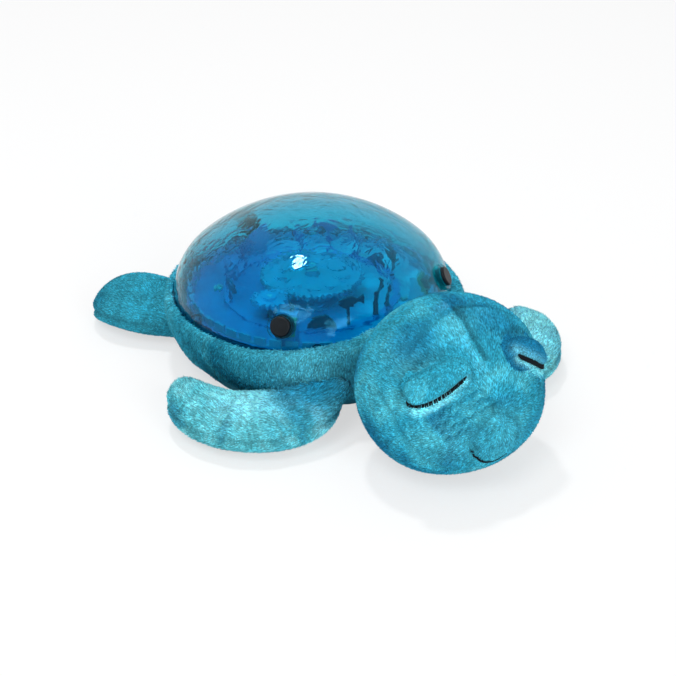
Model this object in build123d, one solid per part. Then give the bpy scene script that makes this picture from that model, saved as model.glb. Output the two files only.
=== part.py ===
from build123d import *
from math import acos, atan2, cos, degrees, hypot, pi, radians, sin, sqrt, tan
import os

# Plush sea turtle night light.
# Millimetres. The origin is on the flat bottom of the lamp tub, under the top of the dome.
# +Z is up, the head looks along -Y and the turtle's left is +X.

# Shell dome
dome_radius = 89.0
dome_height = 58.0
dome_wall = 2.4
rim_level = 45.0
flange_thickness = 2.5
flange_reach = 1.5

# Lamp tub
tub_wall = 2.4
tub_floor = 2.8
tub_bottom_radius = 65.0
tub_corner = 3.0

# Deck, light baffle and scenery
deck_thickness = 2.0
baffle_wall = 1.6
baffle_height = 5.5
baffle_slots = 48
baffle_slot_width = 2.6
scenery_height = 27.0
scenery_band = 5.0
scenery_base = 1.5
scenery_plate = 1.4

# Projector tower, lamps and ripple disc
tower_radius = 20.0
tower_wall = 2.0
tower_height = 9.5
tower_foot = 6.0
tower_floor = 1.5
spider_arms = 3
spider_arm_width = 3.0
spider_thickness = 2.0
hub_radius = 4.5
board_thickness = 1.6
lamp_count = 4
lamp_radius = 2.5
lamp_height = 3.4
lamp_circle = 9.0
axle_radius = 1.5
axle_ring_radius = 3.2
axle_ring_thickness = 0.8
disc_thickness = 2.0
disc_lift = 0.3
ripple_bosses = 9
ripple_boss_radius = 5.6
ripple_boss_height = 1.0
ripple_circle = 19.0

# Gears
gear_module = 1.2
disc_teeth = 54
pinion_teeth = 18
pressure_angle = 20.0
tooth_addendum = 0.9 * gear_module
tooth_dedendum = 1.2 * gear_module
flank_steps = 3
tooth_backlash = 0.22
gear_face = 3.0
pinion_angle = 200.0

# Gearbox and motor
gearbox_length = 30.0
gearbox_width = 26.0
gearbox_height = 12.0
gearbox_corner = 3.0
gearbox_floor = 2.0
motor_radius = 10.0
motor_length = 25.0
motor_edge = 1.2
motor_nose_radius = 3.5
motor_nose_length = 2.0

# Buttons and their switches
button_radius = 6.3
button_angles = {"rear": 90.0, "front_left": -45.0, "front_right": 225.0}
button_seat_radius = 84.5
button_proud = 4.0
button_edge = 1.3
button_travel = 1.0
collar_wall = 2.0
collar_proud = 2.0
collar_depth = 3.6
button_flange = 1.2
stem_radius = 2.2
stem_length = 3.6
tip_radius = 1.6
tip_length = 2.2
switch_side = 6.0
switch_height = 3.5
switch_board_side = 12.0
switch_board_thickness = 1.2
bracket_depth = 13.0

# Cells, bay and door
cell_radius = 7.25
cell_length = 50.5
cell_nub_radius = 2.75
cell_nub_length = 1.2
cell_edge = 0.6
cell_count = 3
cell_spacing = 15.0
bay_wall = 2.0
bay_center_y = 27.5
bay_ledge = 1.6
contact_thickness = 0.5
contact_spring = 2.2
contact_width = 9.0
door_thickness = 2.0
door_recess = 0.4
knuckle_radius = 1.8
hinge_pin_radius = 1.0
hinge_pin_length = 2.2
hinge_clearance = 0.06
door_tab_width = 14.0
door_tab_length = 7.0
door_screw_radius = 1.25
door_screw_head = 2.6
door_screw_reach = 4.0
door_screw_slack = 0.4
grip_count = 5
grip_spacing = 2.9
grip_width = 1.3
grip_depth = 0.4

# Loudspeaker and main board
speaker_radius = 25.0
speaker_y = -31.0
speaker_height = 12.0
speaker_flange = 1.6
speaker_wall = 1.0
speaker_rim = 3.0
speaker_shoulder = 2.0
cone_level = 7.2
cone_dish = 2.0
magnet_radius = 14.0
magnet_height = 6.0
magnet_edge = 0.8
magnet_seat = 6.0
grille_hole_radius = 1.6
grille_rings = 3
grille_spacing = 6.0
main_board_length = 54.0
main_board_width = 34.0
board_standoff = 4.0
capacitor_spot = (-14.0, 5.0)
capacitor_radius = 3.0
capacitor_height = 7.0
# Place across and along the board, length, width and height of the chip, the socket and the driver
component_boxes = ((0.0, 0.0, 14.0, 8.0, 1.8), (16.0, -6.5, 8.0, 5.0, 5.0), (13.0, 6.5, 6.0, 5.0, 2.0))

# Screws
screw_radius = 1.45
screw_head_radius = 2.75
screw_head_height = 1.8
screw_reach = 7.0
screw_boss_radius = 3.1
screw_slot_half = 0.4
screw_end_gap = 1.0
driver_cross_half = 1.6
driver_cross_depth = 0.7
boss_sink = 0.8
dome_screw_count = 6
deck_screw_angles = (20.0, 145.0, 215.0, 315.0)

# Plush
cloth_gap = 0.3
floor_cut = 0.5
body_radius = 94.5
body_base_radius = 69.0
body_bulge_level = 38.0
collar_level = 48.0
neck_level = 61.0
neck_half_width = 22.0
neck_reach = 11.0
head_half_width = 58.0
head_half_depth = 53.0
head_half_height = 53.5
head_x = -2.5
head_sink = 4.5
snout_drop = 0.16
lid_length = 44.0
lid_width = 24.0
lid_proud = 3.0
lid_share_out = 0.57
lid_share_up = 0.51
lid_slant = 27.0
front_shoulder = (-67.0, -40.0)
flipper_pivot = (-40.0, -76.0)
front_curve_radius = 44.0
left_flipper_turn = 24.0
left_flipper_shift = (4.0, -6.0)
rear_root = (52.0, 52.0)
rear_tip = (94.0, 124.0)
tail_length = 26.0
tail_radius = 13.0
front_tip_turn = -220.0
front_half_chord = 29.0
front_half_thickness = 16.0
rear_half_chord = 32.0
rear_half_thickness = 17.5
# Share of the body's height and of its swelling, from the floor to above the collar
body_steps = ((0.0, 0.0), (0.14, 0.3), (0.4, 0.64), (0.72, 0.91), (1.0, 1.0), (1.26, 0.97), (1.77, 0.72))
# Angles of the head's slices from its middle, nose first
head_slices = (-74, -57, -37, -13, 13, 37, 57, 74)
# Angle round the shoulder, then shares of half chord and half thickness: width, thickness, lift
front_stations = (
    (-40, 0.76, 1.06, 0.6), (-62, 0.85, 1.06, 1.0), (-82, 0.94, 1.04, 0.16), (-115, 1.0, 1.0, 0.0),
    (-150, 0.9, 0.94, 0.06), (-180, 0.69, 0.81, 0.25), (-204, 0.41, 0.6, 0.5),
)
front_tip_lift = 1.06
# Share of the length, then shares of the half chord and the half thickness of the rear flipper
rear_stations = (
    (0.0, 0.62, 0.86), (0.3, 0.87, 0.97), (0.6, 1.0, 1.0), (0.82, 0.81, 0.89), (0.95, 0.47, 0.6),
)
rear_tip_lift = 0.4
# Share of the length and of the radius of the tail
tail_stations = ((0.0, 1.0), (0.45, 0.85), (0.75, 0.6), (0.93, 0.33))
tail_flatness = 0.8
tail_tip_lift = 0.27

# General clearances
fit_gap = 0.4
press_gap = 0.15
bore_gap = 0.2
running_gap = 0.05

# Levels and radii that follow from the sizes above
tub_top = rim_level - flange_thickness
deck_top = tub_top + deck_thickness
flange_radius = dome_radius + flange_reach
screw_circle = dome_radius - dome_wall - screw_boss_radius + boss_sink
tub_top_radius = screw_circle - screw_head_radius - fit_gap
deck_screw_circle = tub_bottom_radius - tub_wall - screw_boss_radius + boss_sink
scenery_radius = deck_screw_circle - screw_head_radius - fit_gap - scenery_band / 2
deck_radius = screw_circle - screw_boss_radius - fit_gap
flange_inner = deck_radius + fit_gap
tower_top = deck_top + tower_height
disc_pitch_radius = gear_module * disc_teeth / 2
pinion_pitch_radius = gear_module * pinion_teeth / 2
gear_distance = disc_pitch_radius + pinion_pitch_radius
disc_bottom = tower_top + disc_lift
pinion_x = gear_distance * cos(radians(pinion_angle))
pinion_y = gear_distance * sin(radians(pinion_angle))
bay_half_x = cell_length / 2 + contact_thickness + contact_spring / 2
bay_half_y = (cell_count - 1) * cell_spacing / 2 + cell_radius + fit_gap
door_half_x = bay_half_x + bay_ledge - fit_gap
door_half_y = bay_half_y + bay_ledge - fit_gap
door_top = door_recess + door_thickness
cell_level = tub_floor + fit_gap + cell_radius
bay_roof = cell_level + cell_radius + fit_gap
hinge_y = bay_center_y - door_half_y + knuckle_radius
hinge_z = door_recess + knuckle_radius
door_screw_y = bay_center_y + door_half_y + door_tab_length / 2
main_board_level = bay_roof + bay_wall + board_standoff
head_y = -(body_radius + neck_reach + head_half_depth - head_sink)
lid_x = lid_share_out * head_half_width
lid_level = (1 + lid_share_up) * head_half_height


def polar(radius, angle):
    """Point on a circle in plan, angle in degrees from +X."""
    return (radius * cos(radians(angle)), radius * sin(radians(angle)))


def rod(radius, low, high, x=0.0, y=0.0):
    """Upright cylinder between two levels."""
    return Pos(x, y, low) * extrude(Circle(radius), high - low)


def block(x0, x1, y0, y1, z0, z1):
    """Box between two corners."""
    center = Pos((x0 + x1) / 2, (y0 + y1) / 2, (z0 + z1) / 2)
    return center * Box(x1 - x0, y1 - y0, z1 - z0)


def turned(points):
    """Solid of revolution about Z from a closed outline of radius and level pairs."""
    return revolve(Plane.XZ * make_face(Polyline(*points, close=True)), Axis.Z)


def quarter_radii(a, b):
    """End radius, side radius and end turn of two tangent arcs with half widths a over b."""
    share = 0.6
    if a > b:
        share = min(share, 0.75 * b / (a - b))
    turn = atan2(1 + 1 / (2 * share), 1 + share)
    return b - share * (a - b), a + (a - b) / (2 * share), turn


def quarter_points(a, b):
    """Two tangent arcs from (a, 0) to (0, b), each as start, middle and end."""
    if a < b:
        return [(y, x) for x, y in reversed(quarter_points(b, a))]
    end_radius, side_radius, turn = quarter_radii(a, b)
    half = (turn + pi / 2) / 2
    first = (a - end_radius + end_radius * cos(turn / 2), end_radius * sin(turn / 2))
    joint = (a - end_radius + end_radius * cos(turn), end_radius * sin(turn))
    second = (side_radius * cos(half), b - side_radius + side_radius * sin(half))
    return [(a, 0), first, joint, second, (0, b)]


def oval(plane, right, top, left, bottom):
    """Face with a smooth outline of eight arcs and four half widths of its own."""
    upper_right = quarter_points(right, top)
    upper_left = [(-x, y) for x, y in reversed(quarter_points(left, top))]
    lower_left = [(-x, -y) for x, y in quarter_points(left, bottom)]
    lower_right = [(x, -y) for x, y in reversed(quarter_points(right, bottom))]
    arcs = []
    for run in (upper_right, upper_left, lower_left, lower_right):
        arcs.append(ThreePointArc(run[0], run[1], run[2]))
        arcs.append(ThreePointArc(run[2], run[3], run[4]))
    return plane * make_face(arcs)


def dome_arcs(grow):
    """Half profile of the dome, from its rim to its crown: two tangent arcs."""
    run = quarter_points(dome_radius + grow, dome_height + grow)
    spots = [(x, rim_level + z) for x, z in run]
    return [ThreePointArc(spots[0], spots[1], spots[2]), ThreePointArc(spots[2], spots[3], spots[4])]


def dome_form(grow):
    """Solid dome above the rim level."""
    arcs = dome_arcs(grow)
    crown = arcs[1] @ 1
    foot = Line((0, rim_level), arcs[0] @ 0)
    return revolve(Plane.XZ * make_face(arcs + [Line(crown, (0, rim_level)), foot]), Axis.Z)


def above_floor(solid):
    """The part of a stuffed form that is above the floor, which flattens it."""
    reach = 4 * body_radius
    return solid & block(-reach, reach, -reach, reach, 0, reach)


# Buttons: each has a plane on the dome whose Z points out of the dome
def button_plane(angle):
    edge_radius = quarter_radii(dome_radius, dome_height)[0]
    edge_center = dome_radius - edge_radius
    lean = acos((button_seat_radius - edge_center) / edge_radius)
    x, y = polar(button_seat_radius, angle)
    normal = (cos(lean) * cos(radians(angle)), cos(lean) * sin(radians(angle)), sin(lean))
    sideways = (-sin(radians(angle)), cos(radians(angle)), 0)
    return Plane(origin=(x, y, rim_level + edge_radius * sin(lean)), x_dir=sideways, z_dir=normal)


button_planes = {name: button_plane(angle) for name, angle in button_angles.items()}
bore_radius = button_radius + bore_gap
collar_radius = bore_radius + collar_wall
flange_top = -collar_depth - press_gap
stem_top = flange_top - button_flange
switch_top = stem_top - stem_length - button_travel - press_gap
switch_bottom = switch_top - switch_height
switch_board_back = switch_bottom - switch_board_thickness


def button_cap():
    cap = rod(button_radius, flange_top - button_flange, button_proud)
    cap = fillet(cap.edges().group_by(Axis.Z)[-1], button_edge)
    cap += rod(bore_radius + collar_wall / 2, stem_top, flange_top)
    cap += rod(stem_radius, stem_top - stem_length, stem_top)
    cap += rod(tip_radius, switch_top - tip_length + button_travel, stem_top - stem_length)
    return cap


def switch():
    half = switch_side / 2
    body = block(-half, half, -half, half, switch_bottom, switch_top)
    return body - rod(tip_radius + bore_gap, switch_top - tip_length - press_gap, switch_top)


def switch_board():
    half = switch_board_side / 2
    return block(-half, half, -half, half, switch_board_back, switch_bottom)


# Screws stand head down, with the head's underside on their own zero level
def pan_screw(reach):
    head = rod(screw_head_radius, -screw_head_height, 0)
    head = fillet(head.edges().group_by(Axis.Z)[0], screw_head_height / 3)
    slot = block(-screw_head_radius, screw_head_radius, -screw_slot_half, screw_slot_half,
                 -screw_head_height, -screw_head_height / 2)
    return head + rod(screw_radius, 0, reach) - slot


# Shell dome: thin oval of revolution on a flat flange, with button collars and screw bosses
def make_dome_shell():
    shell = dome_form(0) + rod(flange_radius, tub_top, rim_level)
    for plane in button_planes.values():
        shell += plane.location * rod(collar_radius, -collar_depth, collar_proud)
    shell -= dome_form(-dome_wall)
    shell -= rod(flange_inner, tub_top, rim_level)
    for plane in button_planes.values():
        pad = plane.location * rod(collar_radius, -collar_depth, 0)
        shell += pad
        shell -= plane.location * rod(bore_radius, -2 * collar_depth, 2 * collar_proud)
    for x, y in dome_screw_spots():
        shell += rod(screw_boss_radius, tub_top, tub_top + screw_reach + screw_end_gap, x, y)
        shell -= rod(screw_radius, tub_top, tub_top + screw_reach, x, y)
    return shell


def dome_screw_spots():
    step = 360 / dome_screw_count
    return [polar(screw_circle, index * step) for index in range(dome_screw_count)]


# Lamp tub: tapered cup with a flange, battery bay, speaker seat, bosses and hinge sockets
def tub_outline(grow):
    bottom = tub_bottom_radius + grow
    top = tub_top_radius + grow
    rim = flange_radius + grow
    step = tub_top - flange_thickness - grow
    return bottom, top, rim, step


def tub_inner_radius(level):
    slope = (tub_top_radius - tub_bottom_radius) / (tub_top - flange_thickness)
    return tub_bottom_radius + slope * level - tub_wall


def make_tub():
    bottom, top, rim, step = tub_outline(0)
    cup = turned([(0, 0), (bottom, 0), (top, step), (rim, step), (rim, tub_top), (0, tub_top)])
    cup = fillet(cup.edges().filter_by(GeomType.CIRCLE).group_by(Axis.Z)[0], tub_corner)
    cavity_low = tub_inner_radius(tub_floor)
    cavity_high = tub_inner_radius(tub_top)
    cup -= turned([(0, tub_floor), (cavity_low, tub_floor), (cavity_high, tub_top), (0, tub_top)])
    wall_x = bay_half_x + bay_wall
    wall_y = bay_half_y + bay_wall
    low_y = bay_center_y - wall_y
    high_y = bay_center_y + wall_y
    cup += block(-wall_x, wall_x, low_y, high_y, tub_floor, bay_roof + bay_wall)
    socket_y = knuckle_radius + bay_ledge
    socket_high = hinge_z + hinge_pin_radius + bay_wall
    for side in (-1, 1):
        near = side * (door_half_x + fit_gap)
        far = near + side * (hinge_pin_length + bay_wall)
        ends = sorted((near, far))
        cup += block(ends[0], ends[1], hinge_y - socket_y, hinge_y + socket_y, 0, socket_high)
    boss_top = tub_floor + door_screw_reach + bay_wall * 2
    cup += rod(screw_boss_radius, tub_floor, boss_top, 0, door_screw_y)
    web = screw_boss_radius
    cup += block(-web, web, high_y - bay_wall, door_screw_y, tub_floor, boss_top)
    seat_top = tub_floor + speaker_flange * 2
    cup += rod(speaker_radius + fit_gap + bay_wall, tub_floor, seat_top, 0, speaker_y)
    cup -= rod(speaker_radius + fit_gap, tub_floor, seat_top, 0, speaker_y)
    for angle in deck_screw_angles:
        x, y = polar(deck_screw_circle, angle)
        cup += rod(screw_boss_radius, tub_floor, tub_top, x, y)
        cup -= rod(screw_radius, tub_top - screw_reach, tub_top, x, y)
    for x, y in main_board_posts():
        cup += rod(screw_boss_radius, bay_roof, main_board_level, x, y)
        cup -= rod(screw_radius, bay_roof + bay_wall, main_board_level, x, y)
    for x, y in dome_screw_spots():
        cup -= rod(screw_radius + press_gap, step, tub_top, x, y)
    return cup - bay_hollow() - door_opening() - speaker_grille()


def bay_hollow():
    low_y = bay_center_y - bay_half_y
    high_y = bay_center_y + bay_half_y
    return block(-bay_half_x, bay_half_x, low_y, high_y, 0, bay_roof)


def door_opening():
    half_x = door_half_x + fit_gap
    low_y = bay_center_y - door_half_y - fit_gap
    high_y = bay_center_y + door_half_y + fit_gap
    tab_half = door_tab_width / 2 + fit_gap
    opening = block(-half_x, half_x, low_y, high_y, 0, tub_floor)
    opening += block(-tab_half, tab_half, high_y, high_y + door_tab_length, 0, tub_floor)
    knuckle_room = Plane.YZ * Pos(hinge_y, hinge_z) * Circle(knuckle_radius + fit_gap)
    opening += extrude(knuckle_room, half_x, both=True)
    pin_room = Plane.YZ * Pos(hinge_y, hinge_z) * Circle(hinge_pin_radius + hinge_clearance)
    opening += extrude(pin_room, half_x + hinge_pin_length, both=True)
    screw_room = door_screw_radius + door_screw_slack
    opening += rod(screw_room, tub_floor, tub_floor + door_screw_reach + bay_wall, 0, door_screw_y)
    return opening


def speaker_grille():
    holes = rod(grille_hole_radius, 0, tub_floor, 0, speaker_y)
    for ring in range(1, grille_rings + 1):
        for index in range(6 * ring):
            x, y = polar(ring * grille_spacing, index * 60 / ring)
            holes += rod(grille_hole_radius, 0, tub_floor, x, speaker_y + y)
    return holes


def main_board_posts():
    inset = screw_boss_radius
    half_x = main_board_length / 2 - inset
    half_y = main_board_width / 2 - inset
    return [(sx * half_x, bay_center_y + sy * half_y) for sx in (-1, 1) for sy in (-1, 1)]


# Battery door: plate with a round hinge edge, pins and a screw tab
def make_battery_door():
    high_y = bay_center_y + door_half_y
    tab_half = door_tab_width / 2
    plate = block(-door_half_x, door_half_x, hinge_y, high_y, door_recess, door_top)
    tab_end = high_y + door_tab_length - fit_gap
    tab = block(-tab_half, tab_half, high_y, tab_end, door_recess, door_top)
    tab = fillet(tab.edges().filter_by(Axis.Z).group_by(Axis.Y)[-1], tab_half / 2)
    knuckle = extrude(Plane.YZ * Pos(hinge_y, hinge_z) * Circle(knuckle_radius), door_half_x, both=True)
    pin_length = door_half_x + fit_gap + hinge_pin_length - press_gap
    pins = extrude(Plane.YZ * Pos(hinge_y, hinge_z) * Circle(hinge_pin_radius), pin_length, both=True)
    door = plate + tab + knuckle + pins
    for index in range(grip_count):
        y = high_y - (index + 2) * grip_spacing
        door -= block(-tab_half, tab_half, y, y + grip_width, door_recess, door_recess + grip_depth)
    return door - door_screw_shape()


def door_screw_shape():
    head_low = door_recess + press_gap
    head_high = head_low + door_screw_head - door_screw_radius
    tip = tub_floor + door_screw_reach
    profile = [(0, head_low), (door_screw_head, head_low), (door_screw_radius, head_high)]
    profile += [(door_screw_radius, tip), (0, tip)]
    return Pos(0, door_screw_y) * turned(profile)


def make_door_screw():
    thin = screw_slot_half
    wide = driver_cross_half
    deep = door_recess + driver_cross_depth
    cross = block(-thin, thin, -wide, wide, 0, deep) + block(-wide, wide, -thin, thin, 0, deep)
    return door_screw_shape() - Pos(0, door_screw_y) * cross


# Cells lie along X side by side, every other one turned round
def cell_rows():
    first = bay_center_y - (cell_count - 1) * cell_spacing / 2
    return [(first + index * cell_spacing, 1 if index % 2 == 0 else -1) for index in range(cell_count)]


def make_cells():
    can_length = cell_length - cell_nub_length
    cells = []
    for y, way in cell_rows():
        lying = Pos(0, y, cell_level) * Rot(0, way * 90, 0)
        can = rod(cell_radius, -cell_length / 2, -cell_length / 2 + can_length)
        can = fillet(can.edges().filter_by(GeomType.CIRCLE), cell_edge)
        nub = rod(cell_nub_radius, cell_length / 2 - cell_nub_length, cell_length / 2)
        cells.append(lying * (can + nub))
    return Compound(children=cells)


def make_contacts():
    half = contact_width / 2
    plate_x = bay_half_x - contact_thickness
    pieces = []
    for y, way in cell_rows():
        low = cell_level - half
        high = cell_level + half
        for side in (-1, 1):
            inner = side * plate_x
            outer = side * bay_half_x
            plate = block(min(inner, outer), max(inner, outer), y - half, y + half, low, high)
            if side == -way:
                bow = contact_spring / 2
                arch = ThreePointArc((-half, 0), (0, bow), (half, 0))
                back = ThreePointArc((half - 1, 0), (0, bow - contact_thickness), (1 - half, 0))
                leaf = make_face([arch, Line(arch @ 1, back @ 0), back, Line(back @ 1, arch @ 0)])
                face = Plane(origin=(inner, y, low + half / 2), x_dir=(0, 1, 0), z_dir=(0, 0, side))
                plate += extrude(face * leaf, side * half)
            pieces.append(plate)
    return Compound(children=pieces)


# Deck plate with switch brackets, shaft hole and screw holes
def make_deck_plate():
    deck = rod(deck_radius, tub_top, deck_top)
    half = switch_board_side / 2
    for angle, plane in zip(button_angles.values(), button_planes.values()):
        far = deck_radius - 2 * baffle_wall - fit_gap
        post = block(far - bracket_depth, far, -half, half, deck_top, plane.origin.Z)
        reach = dome_radius
        cut = plane.location * block(-reach, reach, -reach, reach, switch_board_back, reach)
        deck += Rot(0, 0, angle) * post - cut
    deck -= rod(axle_radius + fit_gap * 2, tub_top, deck_top, pinion_x, pinion_y)
    for angle in deck_screw_angles:
        x, y = polar(deck_screw_circle, angle)
        deck -= rod(screw_radius + press_gap, tub_top, deck_top, x, y)
    return deck


def make_light_baffle():
    outer = deck_radius - baffle_wall
    high = deck_top + baffle_height
    half = baffle_slot_width / 2
    ring = rod(outer, deck_top, high) - rod(outer - baffle_wall, deck_top, high)
    for index in range(baffle_slots):
        slot = block(outer - 2 * baffle_wall, outer + baffle_wall, -half, half, deck_top + baffle_wall, high)
        ring -= Rot(0, 0, index * 360 / baffle_slots) * slot
    return ring


# Scenery: flat cut-outs of sea plants, fish and stones that stand on a ring, sized in shares of its height
def kelp(share, lean):
    height = share * scenery_height
    third = height / 3
    wide = height / 6
    half = height / 12
    sway = lean * half
    left = ThreePointArc((-half, 0), (sway - wide, third), (-half / 2, 2 * third))
    tip_left = ThreePointArc((-half / 2, 2 * third), (sway + half, 2.5 * third), (sway, height))
    tip_right = ThreePointArc((sway, height), (sway + wide, 2.4 * third), (half, 2 * third))
    right = ThreePointArc((half, 2 * third), (sway - half / 2, third), (half, 0))
    return make_face([left, tip_left, tip_right, right, Line((half, 0), (-half, 0))])


def fish(level_share, length_share):
    level = level_share * scenery_height
    length = length_share * scenery_height
    body_low = ThreePointArc((-length / 2, level), (0, level - length / 4), (length / 2, level))
    body_high = ThreePointArc((length / 2, level), (0, level + length / 4), (-length / 2, level))
    fin_x = length * 0.75
    fin_half = length / 4
    tail = Polygon((length * 0.36, level), (fin_x, level - fin_half), (fin_x, level + fin_half), align=None)
    stalk = Pos(0, level / 2) * Rectangle(scenery_plate, level)
    return make_face([body_low, body_high]) + tail + stalk


def stone(width_share, height_share):
    width = width_share * scenery_height
    height = height_share * scenery_height
    arch = ThreePointArc((width / 2, 0), (width / 8, height), (-width / 2, 0))
    return make_face([arch, Line((-width / 2, 0), (width / 2, 0))])


def sea_fan(share):
    height = share * scenery_height
    reach = height * 0.7
    fan = Pos(0, height / 2) * Rectangle(scenery_plate, height)
    for lean in (-40, -20, 20, 40):
        fan += Pos(0, height * 0.3) * Rot(0, 0, lean) * Pos(0, reach / 2) * Rectangle(scenery_plate, reach)
    return fan


def make_scenery_ring():
    outer = scenery_radius + scenery_band / 2
    inner = scenery_radius - scenery_band / 2
    base_top = deck_top + scenery_base
    ring = rod(outer, deck_top, base_top) - rod(inner, deck_top, base_top)
    cutouts = {
        -98: fish(0.63, 0.52), -75: kelp(0.96, 0.9), -60: kelp(0.67, -1.0), -15: sea_fan(0.8),
        6: stone(0.74, 0.33), 28: kelp(0.9, -0.5), 46: fish(0.74, 0.45), 65: kelp(0.74, 1.0),
        112: sea_fan(0.74), 132: stone(0.74, 0.4), 150: kelp(1.0, 0.5), 167: fish(0.52, 0.45),
        224: kelp(0.74, -1.0), 244: stone(0.67, 0.37),
    }
    for angle, cutout in cutouts.items():
        x, y = polar(scenery_radius + scenery_plate / 2, angle)
        away = (cos(radians(angle)), sin(radians(angle)), 0)
        sideways = (-sin(radians(angle)), cos(radians(angle)), 0)
        face = Plane(origin=(x, y, base_top - scenery_base / 2), x_dir=sideways, z_dir=away)
        ring += extrude(face * cutout, -scenery_plate)
    return ring


# Projector tower: cup with a spider that holds the axle over the lamps
def make_projector_tower():
    floor_top = deck_top + tower_floor
    tower = rod(tower_radius + tower_foot, deck_top, floor_top)
    tower += rod(tower_radius, deck_top, tower_top)
    tower -= rod(tower_radius - tower_wall, floor_top, tower_top)
    spider_low = tower_top - spider_thickness
    spider = rod(hub_radius, spider_low - spider_thickness, tower_top)
    half = spider_arm_width / 2
    for index in range(spider_arms):
        arm = block(0, tower_radius - tower_wall / 2, -half, half, spider_low, tower_top)
        spider += Rot(0, 0, (index + 0.5) * 360 / spider_arms) * arm
    return tower + spider - rod(axle_radius, spider_low - spider_thickness, tower_top)


def make_lamp_board():
    low = deck_top + tower_floor
    return rod(tower_radius - tower_wall - press_gap, low, low + board_thickness)


def make_lamps():
    low = deck_top + tower_floor + board_thickness
    lamps = []
    for index in range(lamp_count):
        x, y = polar(lamp_circle, index * 360 / lamp_count)
        lamp = rod(lamp_radius, low, low + lamp_height, x, y)
        lamps.append(fillet(lamp.edges().group_by(Axis.Z)[-1], lamp_radius * 0.8))
    return Compound(children=lamps)


# Involute gear outline, one tooth centred on the +X axis
def gear_face_outline(teeth):
    pitch = gear_module * teeth / 2
    base = pitch * cos(radians(pressure_angle))
    tip = pitch + tooth_addendum
    root = pitch - tooth_dedendum
    flank_low = max(base, root)
    roll = tan(radians(pressure_angle)) - radians(pressure_angle)
    half_pitch = pi / (2 * teeth) - tooth_backlash / (2 * pitch)
    flank = []
    for step in range(flank_steps + 1):
        radius = flank_low + (tip - flank_low) * step / flank_steps
        press = sqrt((radius / base) ** 2 - 1)
        flank.append((radius, half_pitch + roll - (press - atan2(press, 1))))
    if root < base:
        flank.insert(0, (root, flank[0][1]))
    points = []
    for tooth in range(teeth):
        middle = 360 * tooth / teeth
        points += [polar(radius, middle - degrees(turn)) for radius, turn in flank]
        points += [polar(radius, middle + degrees(turn)) for radius, turn in reversed(flank)]
    return make_face(Polyline(*points, close=True))


def make_ripple_disc():
    place = Pos(0, 0, disc_bottom) * Rot(0, 0, pinion_angle)
    disc = place * extrude(gear_face_outline(disc_teeth), gear_face)
    web = disc_pitch_radius - 3 * gear_module
    web_top = disc_bottom + disc_thickness
    disc -= rod(web, web_top, disc_bottom + gear_face)
    for index in range(ripple_bosses):
        x, y = polar(ripple_circle, index * 360 / ripple_bosses)
        disc += rod(ripple_boss_radius, web_top, web_top + ripple_boss_height, x, y)
    disc += rod(hub_radius, disc_bottom, disc_bottom + 2 * gear_face)
    return disc - rod(axle_radius + running_gap, disc_bottom, disc_bottom + 2 * gear_face)


def axle_ring_level():
    return disc_bottom + 2 * gear_face + disc_lift


def make_disc_axle():
    return rod(axle_radius, tower_top - 2 * spider_thickness, axle_ring_level() + 2 * axle_ring_thickness)


def make_axle_ring():
    low = axle_ring_level()
    high = low + axle_ring_thickness
    return rod(axle_ring_radius, low, high) - rod(axle_radius, low, high)


def make_drive_pinion():
    low = disc_bottom - press_gap
    high = disc_bottom + gear_face + press_gap
    place = Pos(pinion_x, pinion_y, low) * Rot(0, 0, pinion_angle + 180 / pinion_teeth)
    gear = place * extrude(gear_face_outline(pinion_teeth), high - low)
    gear += rod(hub_radius, low, high + gear_face / 2, pinion_x, pinion_y)
    return gear - rod(axle_radius, low, high + gear_face / 2, pinion_x, pinion_y)


def make_output_shaft():
    high = disc_bottom + gear_face + press_gap + gear_face / 2
    return rod(axle_radius, tub_top - gearbox_height + gearbox_floor, high, pinion_x, pinion_y)


def make_gearbox():
    low = tub_top - gearbox_height
    half_x = gearbox_width / 2
    half_y = gearbox_length / 2
    case = block(pinion_x - half_x, pinion_x + half_x, pinion_y - half_y, pinion_y + half_y, low, tub_top)
    case = fillet(case.edges().filter_by(Axis.Z), gearbox_corner)
    well = low + gearbox_floor - press_gap
    return case - rod(axle_radius + running_gap, well, tub_top, pinion_x, pinion_y)


def make_motor():
    start = pinion_y + gearbox_length / 2
    level = tub_top - motor_radius - fit_gap
    can = Pos(pinion_x, start, level) * Rot(-90, 0, 0) * rod(motor_radius, 0, motor_length)
    can = fillet(can.edges().filter_by(GeomType.CIRCLE), motor_edge)
    nose = Pos(pinion_x, start + motor_length, level) * Rot(-90, 0, 0)
    return can + nose * rod(motor_nose_radius, 0, motor_nose_length)


# Loudspeaker, facing down through the grille
def make_speaker_basket():
    low = tub_floor
    high = low + speaker_height
    seat = magnet_radius - magnet_seat
    step = low + speaker_flange
    outer = [(speaker_radius - speaker_rim, low), (speaker_radius, low), (speaker_radius, step)]
    outer += [(speaker_radius - speaker_shoulder, step), (magnet_radius, high), (seat, high)]
    outer += [(seat, high - speaker_wall), (magnet_radius - speaker_wall, high - speaker_wall)]
    return Pos(0, speaker_y) * turned(outer)


def make_speaker_cone():
    low = tub_floor + speaker_wall
    high = tub_floor + cone_level
    edge = speaker_radius - speaker_rim - speaker_wall - press_gap
    throat = magnet_radius - magnet_seat + speaker_wall
    neck = throat - 2 * speaker_wall
    dish = low + cone_dish
    points = [(0, dish), (neck, high - speaker_wall), (edge - 2 * speaker_wall, low), (edge, low)]
    points += [(throat, high), (neck, high), (0, dish + speaker_wall)]
    return Pos(0, speaker_y) * turned(points)


def make_speaker_magnet():
    low = tub_floor + speaker_height
    magnet = rod(magnet_radius, low, low + magnet_height, 0, speaker_y)
    return fillet(magnet.edges().group_by(Axis.Z)[-1], magnet_edge)


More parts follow.
